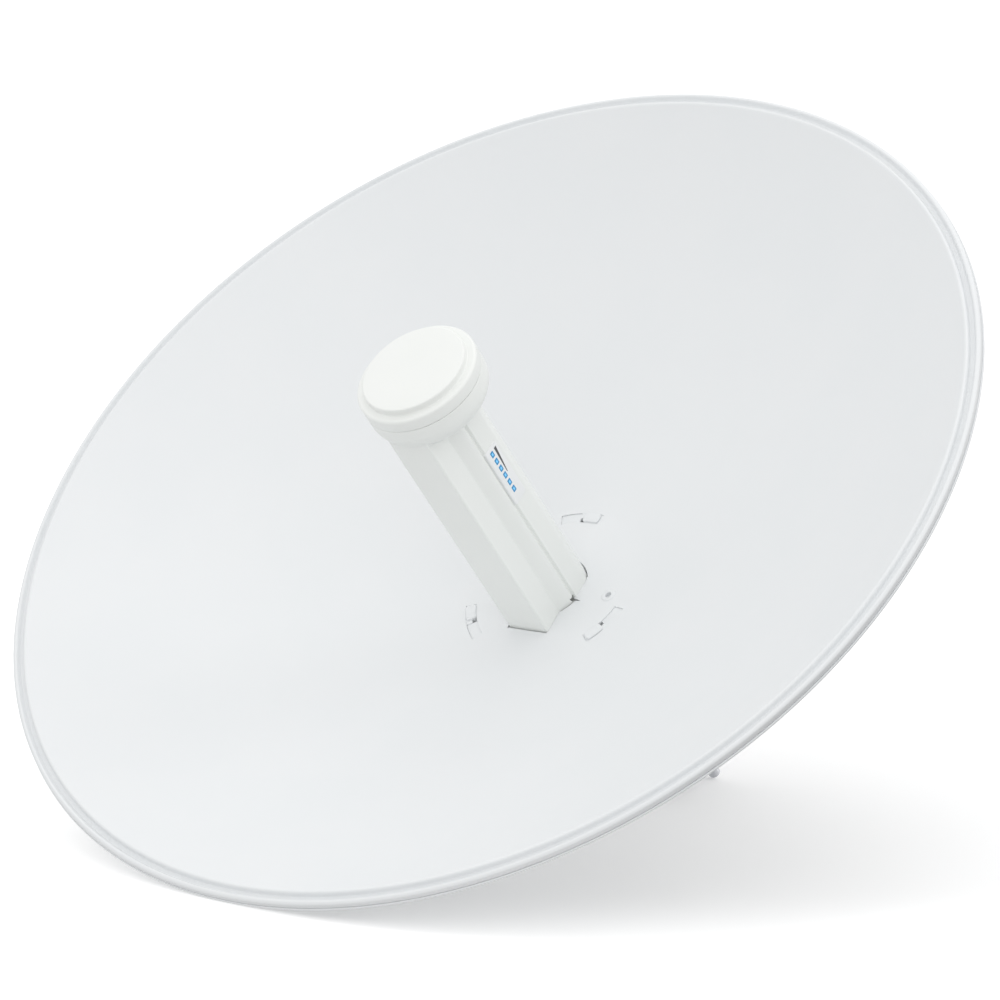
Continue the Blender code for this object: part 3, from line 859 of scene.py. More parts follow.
@dataclass(frozen=True)
class TowerSection:
    """Section of the feed tower across the dish axis: a prism with a round back.

    The flare's points are (distance beyond the half width, y), and the groove's
    are (x, y).
    """

    half_width: float = 15.4
    front: float = -34.1
    edge: float = 1.2
    ease: float = 0.3
    flare: tuple[Pair, ...] = (
        (-0.5, -17.4), (0.55, -15.9), (1.6, -14.4), (2.55, -13.0), (3.4, -11.7),
        (4.1, -10.5), (4.6, -9.4), (4.9, -8.3), (4.95, -7.2),
    )  # fmt: skip
    groove: tuple[Pair, ...] = (
        (20.2, -6.75), (19.85, -6.4), (19.5, -5.95), (19.35, -5.5), (19.4, -5.15),
        (20.0, -4.85), (20.8, -4.5),
    )  # fmt: skip
    strip: float = 20.9
    strip_span: Pair = (-4.1, 8.0)
    back_radius: float = 22.6
    back_start: float = 8.8

    def outline(self) -> Array:
        """Closed outline as points of (x, y), mirrored about Y.

        Returns:
            Array of shape (n, 2), counter-clockwise from the middle of the front.
        """
        edge, ease, side = self.edge, self.ease, self.half_width
        inward, end = self.flare[0]
        start = math.degrees(math.asin(self.back_start / self.back_radius))
        half = np.concatenate(
            [
                np.linspace((0.0, self.front), (side - edge - ease, self.front), 6),
                arc_points((side - edge, self.front + edge), edge, -90.0, 0.0, 6),
                np.linspace((side, self.front + edge + ease), (side + inward, end - ease), 6),
                np.array(self.flare) + np.array([side, 0.0]),
                self.groove,
                np.linspace((self.strip, self.strip_span[0]), (self.strip, self.strip_span[1]), 7),
                arc_points((0.0, 0.0), self.back_radius, start, 90.0, 22),
            ]
        )
        return np.concatenate([half, half[1:-1][::-1] * np.array([-1.0, 1.0])])


SECTION = TowerSection()


@dataclass
class FeedTower:
    """Feed tower with its bowl-shaped collar, in one skin."""

    base: float = -114.5
    top: float = 87.25
    collar_radius: float = 39.4
    collar_floor: float = 21.0
    wall_start: float = 80.0
    drop: float = 16.5
    blend: float = 0.5
    rim_round: float = 0.45
    rim_steps: Triple = (0.2, 0.06, 0.0)
    sharp: float = 24.0
    notch_x: Pair = (13.0, 24.0)
    notch: tuple[Pair, ...] = (
        (-9.7, -103.2), (-8.9, -105.0), (-8.9, -109.0), (-5.0, -109.0), (-5.0, -104.2),
        (-5.7, -103.0),
    )  # fmt: skip

    def heights(self) -> Array:
        """Heights of the rings, close together along the collar.

        Returns:
            Array of rising heights.
        """
        bowl_start = self.wall_start - self.drop
        shaft = np.linspace(self.base, bowl_start - 3.0, 14)
        bowl = np.linspace(bowl_start - 2.4, self.wall_start, 46)
        wall = np.linspace(self.wall_start + 1.5, self.top - self.rim_round, 4)
        return np.concatenate([shaft, bowl, wall, self.top - np.array(self.rim_steps)])

    def bowl_radius(self, height: Array) -> Array:
        """Collar's radius: floor + (wall - floor) * sqrt(1 - t^2), with t the share of the drop.

        Args:
            height: Heights along the axis.

        Returns:
            Radius at each height, 0 below the bowl, with a rounded rim at the top.
        """
        share = np.clip((self.wall_start - height) / self.drop, 0.0, 1.0)
        widening = (self.collar_radius - self.collar_floor) * np.sqrt(1.0 - share**2)
        radius = np.where(
            height < self.wall_start - self.drop, 0.0, self.collar_floor + widening
        )
        rim = np.clip((height - (self.top - self.rim_round)) / self.rim_round, 0.0, 1.0)
        return radius - self.rim_round * (1.0 - np.sqrt(1.0 - rim**2))

    def foot_notch(self) -> bpy.types.Object:
        """Plug for the small opening at the foot of the right seam, as a prism along X."""
        rows = [[(x, y, z) for y, z in self.notch] for x in self.notch_x]
        return Surface("plug").solid(np.array(rows)).build()

    def build(self) -> bpy.types.Object:
        """Skin whose radius is the smooth larger one of the prism and the bowl.

        Returns:
            The tower, with the notch at its foot.
        """
        outline = SECTION.outline()
        prism = np.hypot(outline[:, 0], outline[:, 1])
        height = self.heights()[:, None]
        bowl = self.bowl_radius(height)
        radius = smooth_max(prism, bowl, self.blend)
        radius = np.where(height < self.wall_start - self.drop, prism, radius)
        capped = np.minimum(radius, bowl + self.blend / 4.0)
        radius = np.where(height > self.wall_start, capped, radius)
        grid = loft(outline * (radius / prism)[:, :, None], height[:, 0])
        skin = Surface("feed_tower_skin", self.sharp).solid(grid).build()
        carve(skin, [self.foot_notch()], self.sharp)
        return skin


@dataclass
class FeedCap:
    """Round cap: a ring, a raised disc and a soft fillet between them."""

    radius: float = 39.4
    seat: float = 87.6
    ring: float = 96.0
    top: float = 100.5
    disc: float = 33.8
    seat_edge: float = 0.35
    edge: float = 1.7
    disc_edge: float = 1.1
    fillet: float = 0.8

    def profile(self) -> Array:
        """Half section from the seat outwards and up to the middle of the disc.

        Returns:
            Array of (radius, height).
        """
        radius, seat, ring, top, disc = self.radius, self.seat, self.ring, self.top, self.disc
        low, high, rim, fillet = self.seat_edge, self.edge, self.disc_edge, self.fillet
        return np.concatenate(
            [
                [(0.01, seat), (25.0, seat)],
                arc_points((radius - low, seat + low), low, -90.0, 0.0, 4),
                arc_points((radius - high, ring - high), high, 0.0, 90.0, 9),
                arc_points((disc + fillet, ring + fillet), fillet, -90.0, -180.0, 6),
                arc_points((disc - rim, top - rim), rim, 0.0, 90.0, 8),
                [(20.0, top), (10.0, top), (0.01, top)],
            ]
        )

    def build(self) -> bpy.types.Object:
        """Turn the half section once round the axis."""
        return Surface("feed_cap_turned", 40.0).solid(revolve(self.profile(), 160)).build()


# ------------------------------------------------------------- the reflector


@dataclass(frozen=True)
class Bayonet:
    """One slot of the bayonet lock, in polar sizes of the dish frame.

    The anticlockwise part of the slot holds a sunken key, the clockwise part
    the raised tab, and a deep pit lies between them. Spans are offsets from
    the middle, in degrees.
    """

    middle: float
    slot: Pair = (-15.0, 14.7)
    key: Pair = (0.7, 14.7)
    tab: Pair = (-14.2, -1.9)
    pit: Pair = (-1.9, 0.7)
    pit_outer: float = 56.3
    inner: float = 53.0
    outer: float = 60.3
    tab_outer: float = 59.9

    def turned(self, start: float, end: float) -> Pair:
        """Span of offsets as angles of the dish frame."""
        return self.middle + start, self.middle + end


BAYONETS = (Bayonet(-23.0), Bayonet(99.2), Bayonet(-141.4))


def sector_outline(radii: Pair, angles: Pair, corner: float, inset: float) -> Array:
    """Piece of a ring between two angles, with round corners, drawn in by inset.

    A rounded rectangle of (arc length at the middle radius, radius) is bent
    round the axis.

    Args:
        radii: Inner and outer radius.
        angles: First and last angle in degrees.
        corner: Radius of the corners.
        inset: How far the outline is drawn in.

    Returns:
        Array of shape (n, 2).
    """
    middle = sum(radii) / 2.0
    half = (math.radians(angles[1] - angles[0]) / 2.0 * middle, (radii[1] - radii[0]) / 2.0)
    flat = rounded_box(half, corner, inset)
    runs = []
    for start in range(0, len(flat), CORNER_STEPS):
        end = start + CORNER_STEPS - 1
        side = np.linspace(flat[end], flat[(end + 1) % len(flat)], SIDE_STEPS)[:-1]
        runs += [flat[start:end], side]
    points = np.concatenate(runs)
    turn = np.radians(sum(angles) / 2.0) - points[:, 0] / middle
    return polar(middle + points[:, 1], turn, 0.0)[:, :2]


def sector_block(radii: Pair, angles: Pair, levels: Pair, corner: float, edge: float) -> Array:
    """Block over a piece of a ring, whose rounded top follows the dish.

    Args:
        radii: Inner and outer radius.
        angles: First and last angle in degrees.
        levels: Bottom height, and height of the top over the dish.
        corner: Radius of the upright corners.
        edge: Radius of the top edge.

    Returns:
        Grid of shape (rows, columns, 3).
    """
    turns = np.radians(np.linspace(0.0, 90.0, 5))
    insets = [0.0, *(edge * (1.0 - np.cos(turns)))]
    outlines = [sector_outline(radii, angles, corner, inset) for inset in insets]
    grid = loft(outlines, [levels[0], *(levels[1] - edge + edge * np.sin(turns))])
    grid[1:, :, 2] += CURVE.at(np.hypot(grid[1:, :, 0], grid[1:, :, 1]))
    return grid


@dataclass
class Reflector:
    """Pressed reflector with its rolled rim, feed hole, bayonet slots and sight hole."""

    sheet: float = 1.6
    sharp: float = 30.0
    rim_radius: float = 324.75
    wall_radius: float = 324.1
    bead: float = 0.85
    bead_height: float = -0.75
    columns: int = 300
    closest: float = 0.12
    hole_gap: float = 0.22
    hole_margin: float = 43.5
    near_rows: tuple[float, ...] = (
        46.0, 49.0, 51.0, 53.0, 55.0, 57.5, 60.3, 62.0, 64.0, 66.5, 69.0, 72.0,
    )  # fmt: skip
    far_rows: tuple[float, float, int] = (76.0, 296.0, 27)
    sight_hole: Pair = (43.2, 0.0)
    sight_radius: float = 3.2
    plug_radius: float = 68.0
    plug_reach: float = 8.0
    notch: tuple[Pair, ...] = (
        (18.0, -5.8), (21.6, -6.3), (25.8, -7.2), (21.5, -7.9), (20.2, -8.8), (18.0, -9.0),
    )  # fmt: skip

    def angles(self) -> Array:
        """Column angles: even steps, the tower's corners and the slots' ends.

        Returns:
            Rising angles in radians, none but the ends closer than closest degrees.
        """
        outline = SECTION.outline()
        corners = np.arctan2(outline[:, 1], outline[:, 0])
        ends = np.concatenate([slot.turned(*slot.slot) for slot in BAYONETS])
        ends = np.radians((ends + 180.0) % 360.0 - 180.0)
        turn = np.sort(np.concatenate([even_turns(self.columns) - math.pi, corners, ends]))
        apart = np.diff(turn, append=turn[0] + math.tau) > math.radians(self.closest)
        return turn[apart | np.isin(turn, ends)]

    def gap(self, turn: Array) -> Array:
        """Gap round the tower: a hair's breadth, changed over a few stretches of the angle.

        A stretch holds its share of the gap, the angle that it goes by, and its
        middle, half width and soft width in degrees.

        Args:
            turn: Angles in radians.

        Returns:
            Gap at each angle.
        """
        degrees = np.degrees(turn)
        from_side = 90.0 - np.abs(np.abs(degrees) - 90.0)
        stretches = (
            (0.95, degrees, -90.0, 22.5, 1.5),
            (1.5, degrees, -115.2, 2.0, 0.6),
            (0.75, np.abs(degrees + 90.0) - 90.0, -33.0, 14.0, 2.0),
            (0.75, np.abs(degrees - 90.0), 39.5, 20.0, 4.0),
            (-0.19, from_side, 4.0, 15.0, 2.0),
        )
        wide = sum(size * bump(*stretch, angle) for size, angle, *stretch in stretches)
        return self.hole_gap + wide

    def rim_profile(self) -> Array:
        """Shoulder, deep groove, lip, outer wall with its crease, and bead.

        Returns:
            Array of (radius, height).
        """
        shoulder = (
            (313.4, 3.83), (314.1, 4.35), (314.8, 4.68), (315.4, 4.75), (315.9, 4.58),
            (316.3, 4.22), (316.55, 3.7),
        )  # fmt: skip
        groove = (
            (316.7, 3.1), (316.75, 2.4), (316.9, 1.85), (317.4, 1.45), (318.5, 1.35),
            (319.6, 1.55), (320.2, 2.1),
        )  # fmt: skip
        lip = (
            (320.6, 2.8), (320.85, 3.6), (321.2, 4.15), (321.6, 4.45), (322.1, 4.55),
            (322.7, 4.42), (323.2, 4.15),
        )  # fmt: skip
        wall = (
            (-0.55, 3.85), (-0.22, 3.5), (-0.05, 3.1), (0.0, 2.6), (0.0, 1.0),
            (-0.05, 0.6), (-0.3, 0.38), (-0.75, 0.3), (-0.7, 0.02),
        )  # fmt: skip
        bowl = [(r, CURVE.at(r)) for r in (300.0, 305.0, 309.0, 311.0, 312.7)]
        wall = np.array(wall) + np.array([self.wall_radius, 0.0])
        middle = (self.rim_radius - self.bead, self.bead_height)
        bead = arc_points(middle, self.bead, 62.0, -90.0, 10)
        return np.concatenate([bowl, shoulder, groove, lip, wall, bead])

    def grid(self) -> tuple[Array, Array]:
        """Front surface, whose rows run from the tower through the slots to the rim.

        Returns:
            Its points, and the mask of its faces outside the slots.
        """
        turn = self.angles()
        hole = ray_radius(SECTION.outline(), turn) + self.gap(turn)
        share = np.linspace(0.0, 1.0, 6)[:, None]
        profile = self.rim_profile()
        rows = np.concatenate([self.near_rows, np.linspace(*self.far_rows), profile[:, 0]])
        inner = hole * (1.0 - share) + self.hole_margin * share
        radius = np.concatenate([inner, np.broadcast_to(rows[:, None], (len(rows), len(turn)))])
        height = CURVE.at(radius)
        height[-len(profile) :] = profile[:, 1:]
        centre = np.degrees((turn + np.append(turn[1:], turn[0] + math.tau)) / 2.0)
        ring = (radius[:-1, 0] + radius[1:, 0]) / 2.0
        keep = np.ones((len(ring), len(turn)), bool)
        for slot in BAYONETS:
            offset = (centre - slot.middle + 180.0) % 360.0 - 180.0
            within = (offset > slot.slot[0]) & (offset < slot.slot[1])
            across = (ring > slot.inner) & (ring < slot.outer)
            keep &= ~(across[:, None] & within[None, :])
        return polar(radius, turn, height), keep.reshape(-1)

    def cutters(self) -> list[bpy.types.Object]:
        """Plug for the sight hole, and a small wedge for the notch beside the strip.

        Returns:
            The two plugs.
        """
        circle = polar(self.sight_radius, even_turns(32), 0.0)[:, :2] + self.sight_hole
        levels = (CURVE.at(0.0) - self.plug_reach, CURVE.at(self.plug_radius) + self.plug_reach)
        grids = [loft([outline, outline], levels) for outline in (circle, np.array(self.notch))]
        return [Surface("plug").solid(grid).build() for grid in grids]

    def build(self) -> bpy.types.Object:
        """Front surface thickened to sheet metal, with its round hole.

        Returns:
            The reflector.
        """
        points, keep = self.grid()
        dish = Surface("reflector_pressing", self.sharp).add(points, keep=keep).build()
        solid = dish.modifiers.new("Sheet", "SOLIDIFY")
        solid.thickness, solid.offset = self.sheet * MM, -1.0
        carve(dish, self.cutters(), self.sharp)
        return dish


@dataclass
class BayonetHub:
    """Moulded hub behind the reflector, with keys and raised tabs in the slots."""

    radius: float = 68.0
    back: float = -116.5
    back_edge: float = 2.0
    seat: float = 2.0
    sharp: float = 35.0
    clearance: float = 0.25
    corner_clearance: float = 0.8
    corner_span: Triple = (22.5, 1.2, 1.2)
    ease: float = 0.08
    tab_rise: float = 1.2
    tab_corner: float = 1.8
    tab_edge: float = 0.7
    key_sink: float = 0.6
    fill_overlap: float = 1.5
    pit_span: Pair = (-113.5, 6.0)
    pit_edges: Pair = (0.2, 0.05)

    def bore(self, turn: Array) -> Array:
        """Radius of the bore: the tower's plus a clearance, wider at its front's corners.

        Args:
            turn: Angles in radians.

        Returns:
            Radius at each angle.
        """
        from_front = np.abs((np.degrees(turn) + 270.0) % 360.0 - 180.0)
        corner = bump(*self.corner_span, from_front)
        tower = ray_radius(SECTION.outline(), turn)
        return tower + self.clearance + self.corner_clearance * corner

    def body(self) -> Array:
        """Ring that follows the back of the reflector outside, and the tower inside.

        Returns:
            Grid of shape (rows, columns, 3), whose last ring joins the first.
        """
        turn = even_turns(360) - math.pi
        bore = self.bore(turn)
        share = np.linspace(0.0, 1.0, 8)[:, None]
        front = self.radius * (1.0 - share) + bore * share
        round_edge = (self.radius - self.back_edge, self.back + self.back_edge)
        edge = arc_points(round_edge, self.back_edge, -90.0, 0.0, 6)
        rings = [
            polar(bore[None, :], turn, self.back),
            polar(edge[:, :1], turn, edge[:, 1:]),
            polar(front, turn, CURVE.at(front) - self.seat),
        ]
        return np.concatenate(rings)

    def blocks(self, slot: Bayonet) -> list[Array]:
        """Raised tab, sunken key and the flush fillings round the pit of one slot.

        A row holds the radii, the angles, the top's height over the dish, and
        the radii of the corners and of the top edge.

        Args:
            slot: The bayonet slot.

        Returns:
            One grid for each block.
        """
        root, ease, over = self.back + self.back_edge, self.ease, self.fill_overlap
        inner, outer = slot.inner + ease, slot.outer - ease
        tab = slot.turned(*slot.tab)
        key = slot.turned(slot.key[0], slot.key[1] - ease)
        beside_pit = slot.turned(slot.tab[1] - over, slot.key[0] - 0.02)
        behind_tab = slot.turned(slot.slot[0] + ease, slot.tab[0] + over)
        spans = (
            ((inner, slot.tab_outer), tab, self.tab_rise, self.tab_corner, self.tab_edge),
            ((inner, outer), key, -self.key_sink, 0.5, 0.06),
            ((slot.pit_outer, outer), beside_pit, -0.02, 0.1, 0.06),
            ((inner, outer), behind_tab, -0.3, 0.1, 0.06),
        )
        return [
            sector_block(radii, span, (root, top), corner, edge)
            for radii, span, top, corner, edge in spans
        ]

    def pit(self, slot: Bayonet) -> bpy.types.Object:
        """Plug for the deep pit between the key and the tab.

        Args:
            slot: The bayonet slot.

        Returns:
            The plug.
        """
        radii, span = (slot.inner, slot.pit_outer), slot.turned(*slot.pit)
        grid = sector_block(radii, span, self.pit_span, *self.pit_edges)
        return Surface("plug").solid(grid).build()

    def build(self) -> bpy.types.Object:
        """Ring with the deep pits of its three slots.

        Returns:
            The hub.
        """
        hub = Surface("bayonet_hub", self.sharp).ring(self.body()).build()
        carve(hub, [self.pit(slot) for slot in BAYONETS], self.sharp)
        return hub

    def build_tabs(self) -> bpy.types.Object:
        """Three tabs that stand over the dish, three sunken keys and the flush fillings.

        Returns:
            All of them as one piece.
        """
        surface = Surface("bayonet_tabs", self.sharp)
        for slot in BAYONETS:
            for grid in self.blocks(slot):
                surface.solid(grid)
        return surface.build()


@dataclass
class SightBoss:
    """Small raised ring with a shallow cup, seated in the larger sight hole."""

    place: Triple = (43.2, 0.0, 0.0)
    radius: float = 4.7
    stem: float = 3.1
    cup: float = 1.95
    rise: float = 0.5
    soft: float = 0.3
    depth: float = 3.0
    foot: float = 4.2

    def build(self) -> bpy.types.Object:
        """Half section turned once round the hole's middle, then sheared to follow the dish.

        Each point is lifted by the dish's height at its own radius.

        Returns:
            The boss.
        """
        radius, rise, soft, cup = self.radius, self.rise, self.soft, self.cup
        profile = (
            (0.01, -self.foot), (self.stem, -self.foot), (self.stem, 0.0), (radius, 0.02),
            (radius, 0.15), (radius - soft, rise - 0.1), (radius - 2.0 * soft, rise),
            (cup + soft, rise), (cup, rise - soft), (cup, -self.depth), (0.01, -self.depth),
        )  # fmt: skip
        grid = revolve(profile, 48) + np.array(self.place)
        grid[:, :, 2] += CURVE.at(np.hypot(grid[:, :, 0], grid[:, :, 1]))
        return Surface("sight_hole_boss", 40.0).solid(grid).build()


# --------------------------------------------------------- indicator panel


@dataclass
class IndicatorPanel:
    """Film panel on the flat strip, with six windows and a tapered signal bar.

    Steps are (inset, height over the face) from the back of a piece to its front.
    """

    face: float = 21.4
    across: Pair = (-5.6, 6.8)
    along: Pair = (-14.4, 30.2)
    corner: float = 1.4
    steps: tuple[Pair, ...] = ((0.0, -2.2), (0.0, -0.42), (0.06, -0.2), (0.2, -0.05), (0.32, 0.0))
    ramp: float = 2.4
    ramp_depth: float = 0.5
    window: Pair = (3.0, 4.4)
    window_corner: float = 0.5
    window_steps: tuple[Pair, ...] = (
        (0.0, -0.5), (0.0, 0.02), (0.06, 0.07), (0.2, 0.1), (0.45, 0.11),
    )  # fmt: skip
    window_y: float = -0.6
    top_window: float = 25.3
    pitch: float = 6.3
    count: int = 6
    bar: tuple[Pair, ...] = ((5.0, 27.4), (2.9, 27.2), (2.1, 6.8), (2.6, 6.7))
    bar_steps: Pair = (-0.2, 0.05)

    def lift(self, outlines: Sequence[Array], heights: Sequence[float]) -> Array:
        """Loft outlines of (y, z) outwards along X, at heights over the face."""
        return loft(outlines, self.face + np.array(heights))[:, :, [2, 0, 1]]

    def plate(self) -> bpy.types.Object:
        """Film plate with a rounded rim, and a ramp down to the tower at its lower end.

        Returns:
            The plate.
        """
        spans = np.array([self.across, self.along])
        half, centre = (spans[:, 1] - spans[:, 0]) / 2.0, spans.mean(axis=1)
        insets, heights = zip(*self.steps)
        outlines = [rounded_box(half, self.corner, inset) + centre for inset in insets]
        for outline, height in zip(outlines, heights):
            drop = max(height, -self.ramp_depth) / self.ramp_depth
            outline[outline[:, 1] < centre[1], 1] += self.ramp * drop
        return Surface("indicator_film", 40.0).solid(self.lift(outlines, heights)).build()

    def window_piece(self, number: int) -> bpy.types.Object:
        """One slightly domed window, with a UV map across its face.

        Args:
            number: Number of the window, from 1 at the top.

        Returns:
            The window.
        """
        centre = np.array([self.window_y, self.top_window - self.pitch * (number - 1)])
        half = (self.window[0] / 2.0, self.window[1] / 2.0)
        insets, heights = zip(*self.window_steps)
        outlines = [rounded_box(half, self.window_corner, inset) + centre for inset in insets]
        surface = Surface(f"blue_window_{number}", 50.0).solid(self.lift(outlines, heights))
        piece = surface.build()
        self.map_face(piece.data, centre)
        return piece

    def map_face(self, mesh: bpy.types.Mesh, centre: Array) -> None:
        """Write the UV map: place across the window from 0 to 1, both ways.

        Args:
            mesh: Mesh of the window.
            centre: Middle of the window as (y, z) of the dish frame.
        """
        points = np.zeros(len(mesh.vertices) * 3, np.float32)
        mesh.vertices.foreach_get("co", points)
        corner = np.zeros(len(mesh.loops), np.int32)
        mesh.loops.foreach_get("vertex_index", corner)
        place = (DISH.local(points)[:, 1:] - centre) / np.array(self.window) + 0.5
        layer = mesh.uv_layers.new(name="window")
        layer.data.foreach_set("uv", place[corner].astype(np.float32).reshape(-1))

    def signal_bar(self) -> bpy.types.Object:
        """Tapered bar, a twentieth of a millimetre proud of the film.

        Returns:
            The bar.
        """
        corners = np.array(self.bar)
        ends = np.roll(corners, -1, axis=0)
        outline = np.concatenate([np.linspace(a, b, 5)[:-1] for a, b in zip(corners, ends)])
        grid = self.lift([outline, outline], self.bar_steps)
        return Surface("signal_bar", 40.0).solid(grid).build()


# ---------------------------------------------------------------- rear parts


@dataclass
class RearHousing:
    """Round housing behind the hub."""

    radius: float = 41.0
    front: float = -116.8
    front_edge: float = 0.6
    line: float = -131.0
    line_depth: float = 0.5
    line_half: Pair = (0.5, 0.2)
    back: float = -158.0
    edge: float = 6.0

    def build(self) -> bpy.types.Object:
        """Turned housing with a parting line and a soft rear edge.

        Returns:
            The housing.
        """
        radius, front, line, edge = self.radius, self.front, self.line, self.front_edge
        (wide, narrow), low = self.line_half, radius - self.line_depth
        profile = np.concatenate(
            [
                [(0.01, front), (radius - edge, front), (radius, front - edge)],
                [(radius, line + wide), (low, line + narrow)],
                [(low, line - narrow), (radius, line - wide)],
                arc_points((radius - self.edge, self.back + self.edge), self.edge, 0.0, -90.0, 12),
                [(20.0, self.back), (0.01, self.back)],
            ]
        )
        return Surface("rear_housing_turned", 30.0).solid(revolve(profile, 128)).build()


# ----------------------------------------------------------------- fasteners


class Side(Enum):
    """Side of the mount, as the sign of X."""

    left = -1
    right = 1


@dataclass(frozen=True)
class Thread:
    """Metric coarse thread."""

    radius: float = 4.0
    pitch: float = 1.25
    depth: float = 0.45
    chamfer: float = 0.9
    columns: int = 20
    rows_per_pitch: float = 6.0

    def rod(self, low: float, high: float) -> Array:
        """Threaded rod from low to high, with a chamfer at its low end.

        The radius is r - depth * |2t - 1|, with t the fraction of height / pitch
        less the share of the turn.

        Args:
            low: Height of the low end.
            high: Height of the high end.

        Returns:
            Grid of shape (rows, columns, 3).
        """
        rows = int((high - low) / self.pitch * self.rows_per_pitch) + 2
        height = np.linspace(low, high, rows)[:, None]
        turn = even_turns(self.columns)
        phase = (height / self.pitch - turn / math.tau) % 1.0
        radius = self.radius - self.depth * np.abs(2.0 * phase - 1.0)
        radius = np.minimum(radius, self.radius - self.chamfer + (height - low))
        return polar(radius, turn, height)


@dataclass(frozen=True)
class Hexagon:
    """Hexagon head or nut with its corners bevelled by a cone."""

    across: float = 7.5
    bevel: float = 1.4
    cone: float = 0.97
    slope: float = 1.7
    columns: int = 72

    def block(self, low: float, high: float, bore: float = 0.01, both: bool = True) -> Array:
        """Hexagon from low to high.

        Radius at an angle is the flat's distance over the cosine from the middle
        of the nearest flat, and never more than the bevel cone's at that height.

        Args:
            low: Lower face.
            high: Upper face.
            bore: Radius of the hole, nearly 0 for a solid head.
            both: Whether both faces are bevelled, or only the upper one.

        Returns:
            Grid that runs from the bore's foot round the outside to its top.
        """
        turn, sixth = even_turns(self.columns), math.tau / 6.0
        flat = self.across / np.cos((turn + sixth / 2.0) % sixth - sixth / 2.0)
        rising = np.linspace(low, low + self.bevel, 6)
        height = np.concatenate([[low], rising, np.linspace(high - self.bevel, high, 6), [high]])
        depth = np.minimum(high - height, height - low) if both else high - height
        cone = self.across * self.cone + depth * self.slope
        radius = np.minimum(flat[None, :], cone[:, None])
        radius[[0, -1]] = bore
        return polar(radius, turn, height[:, None])


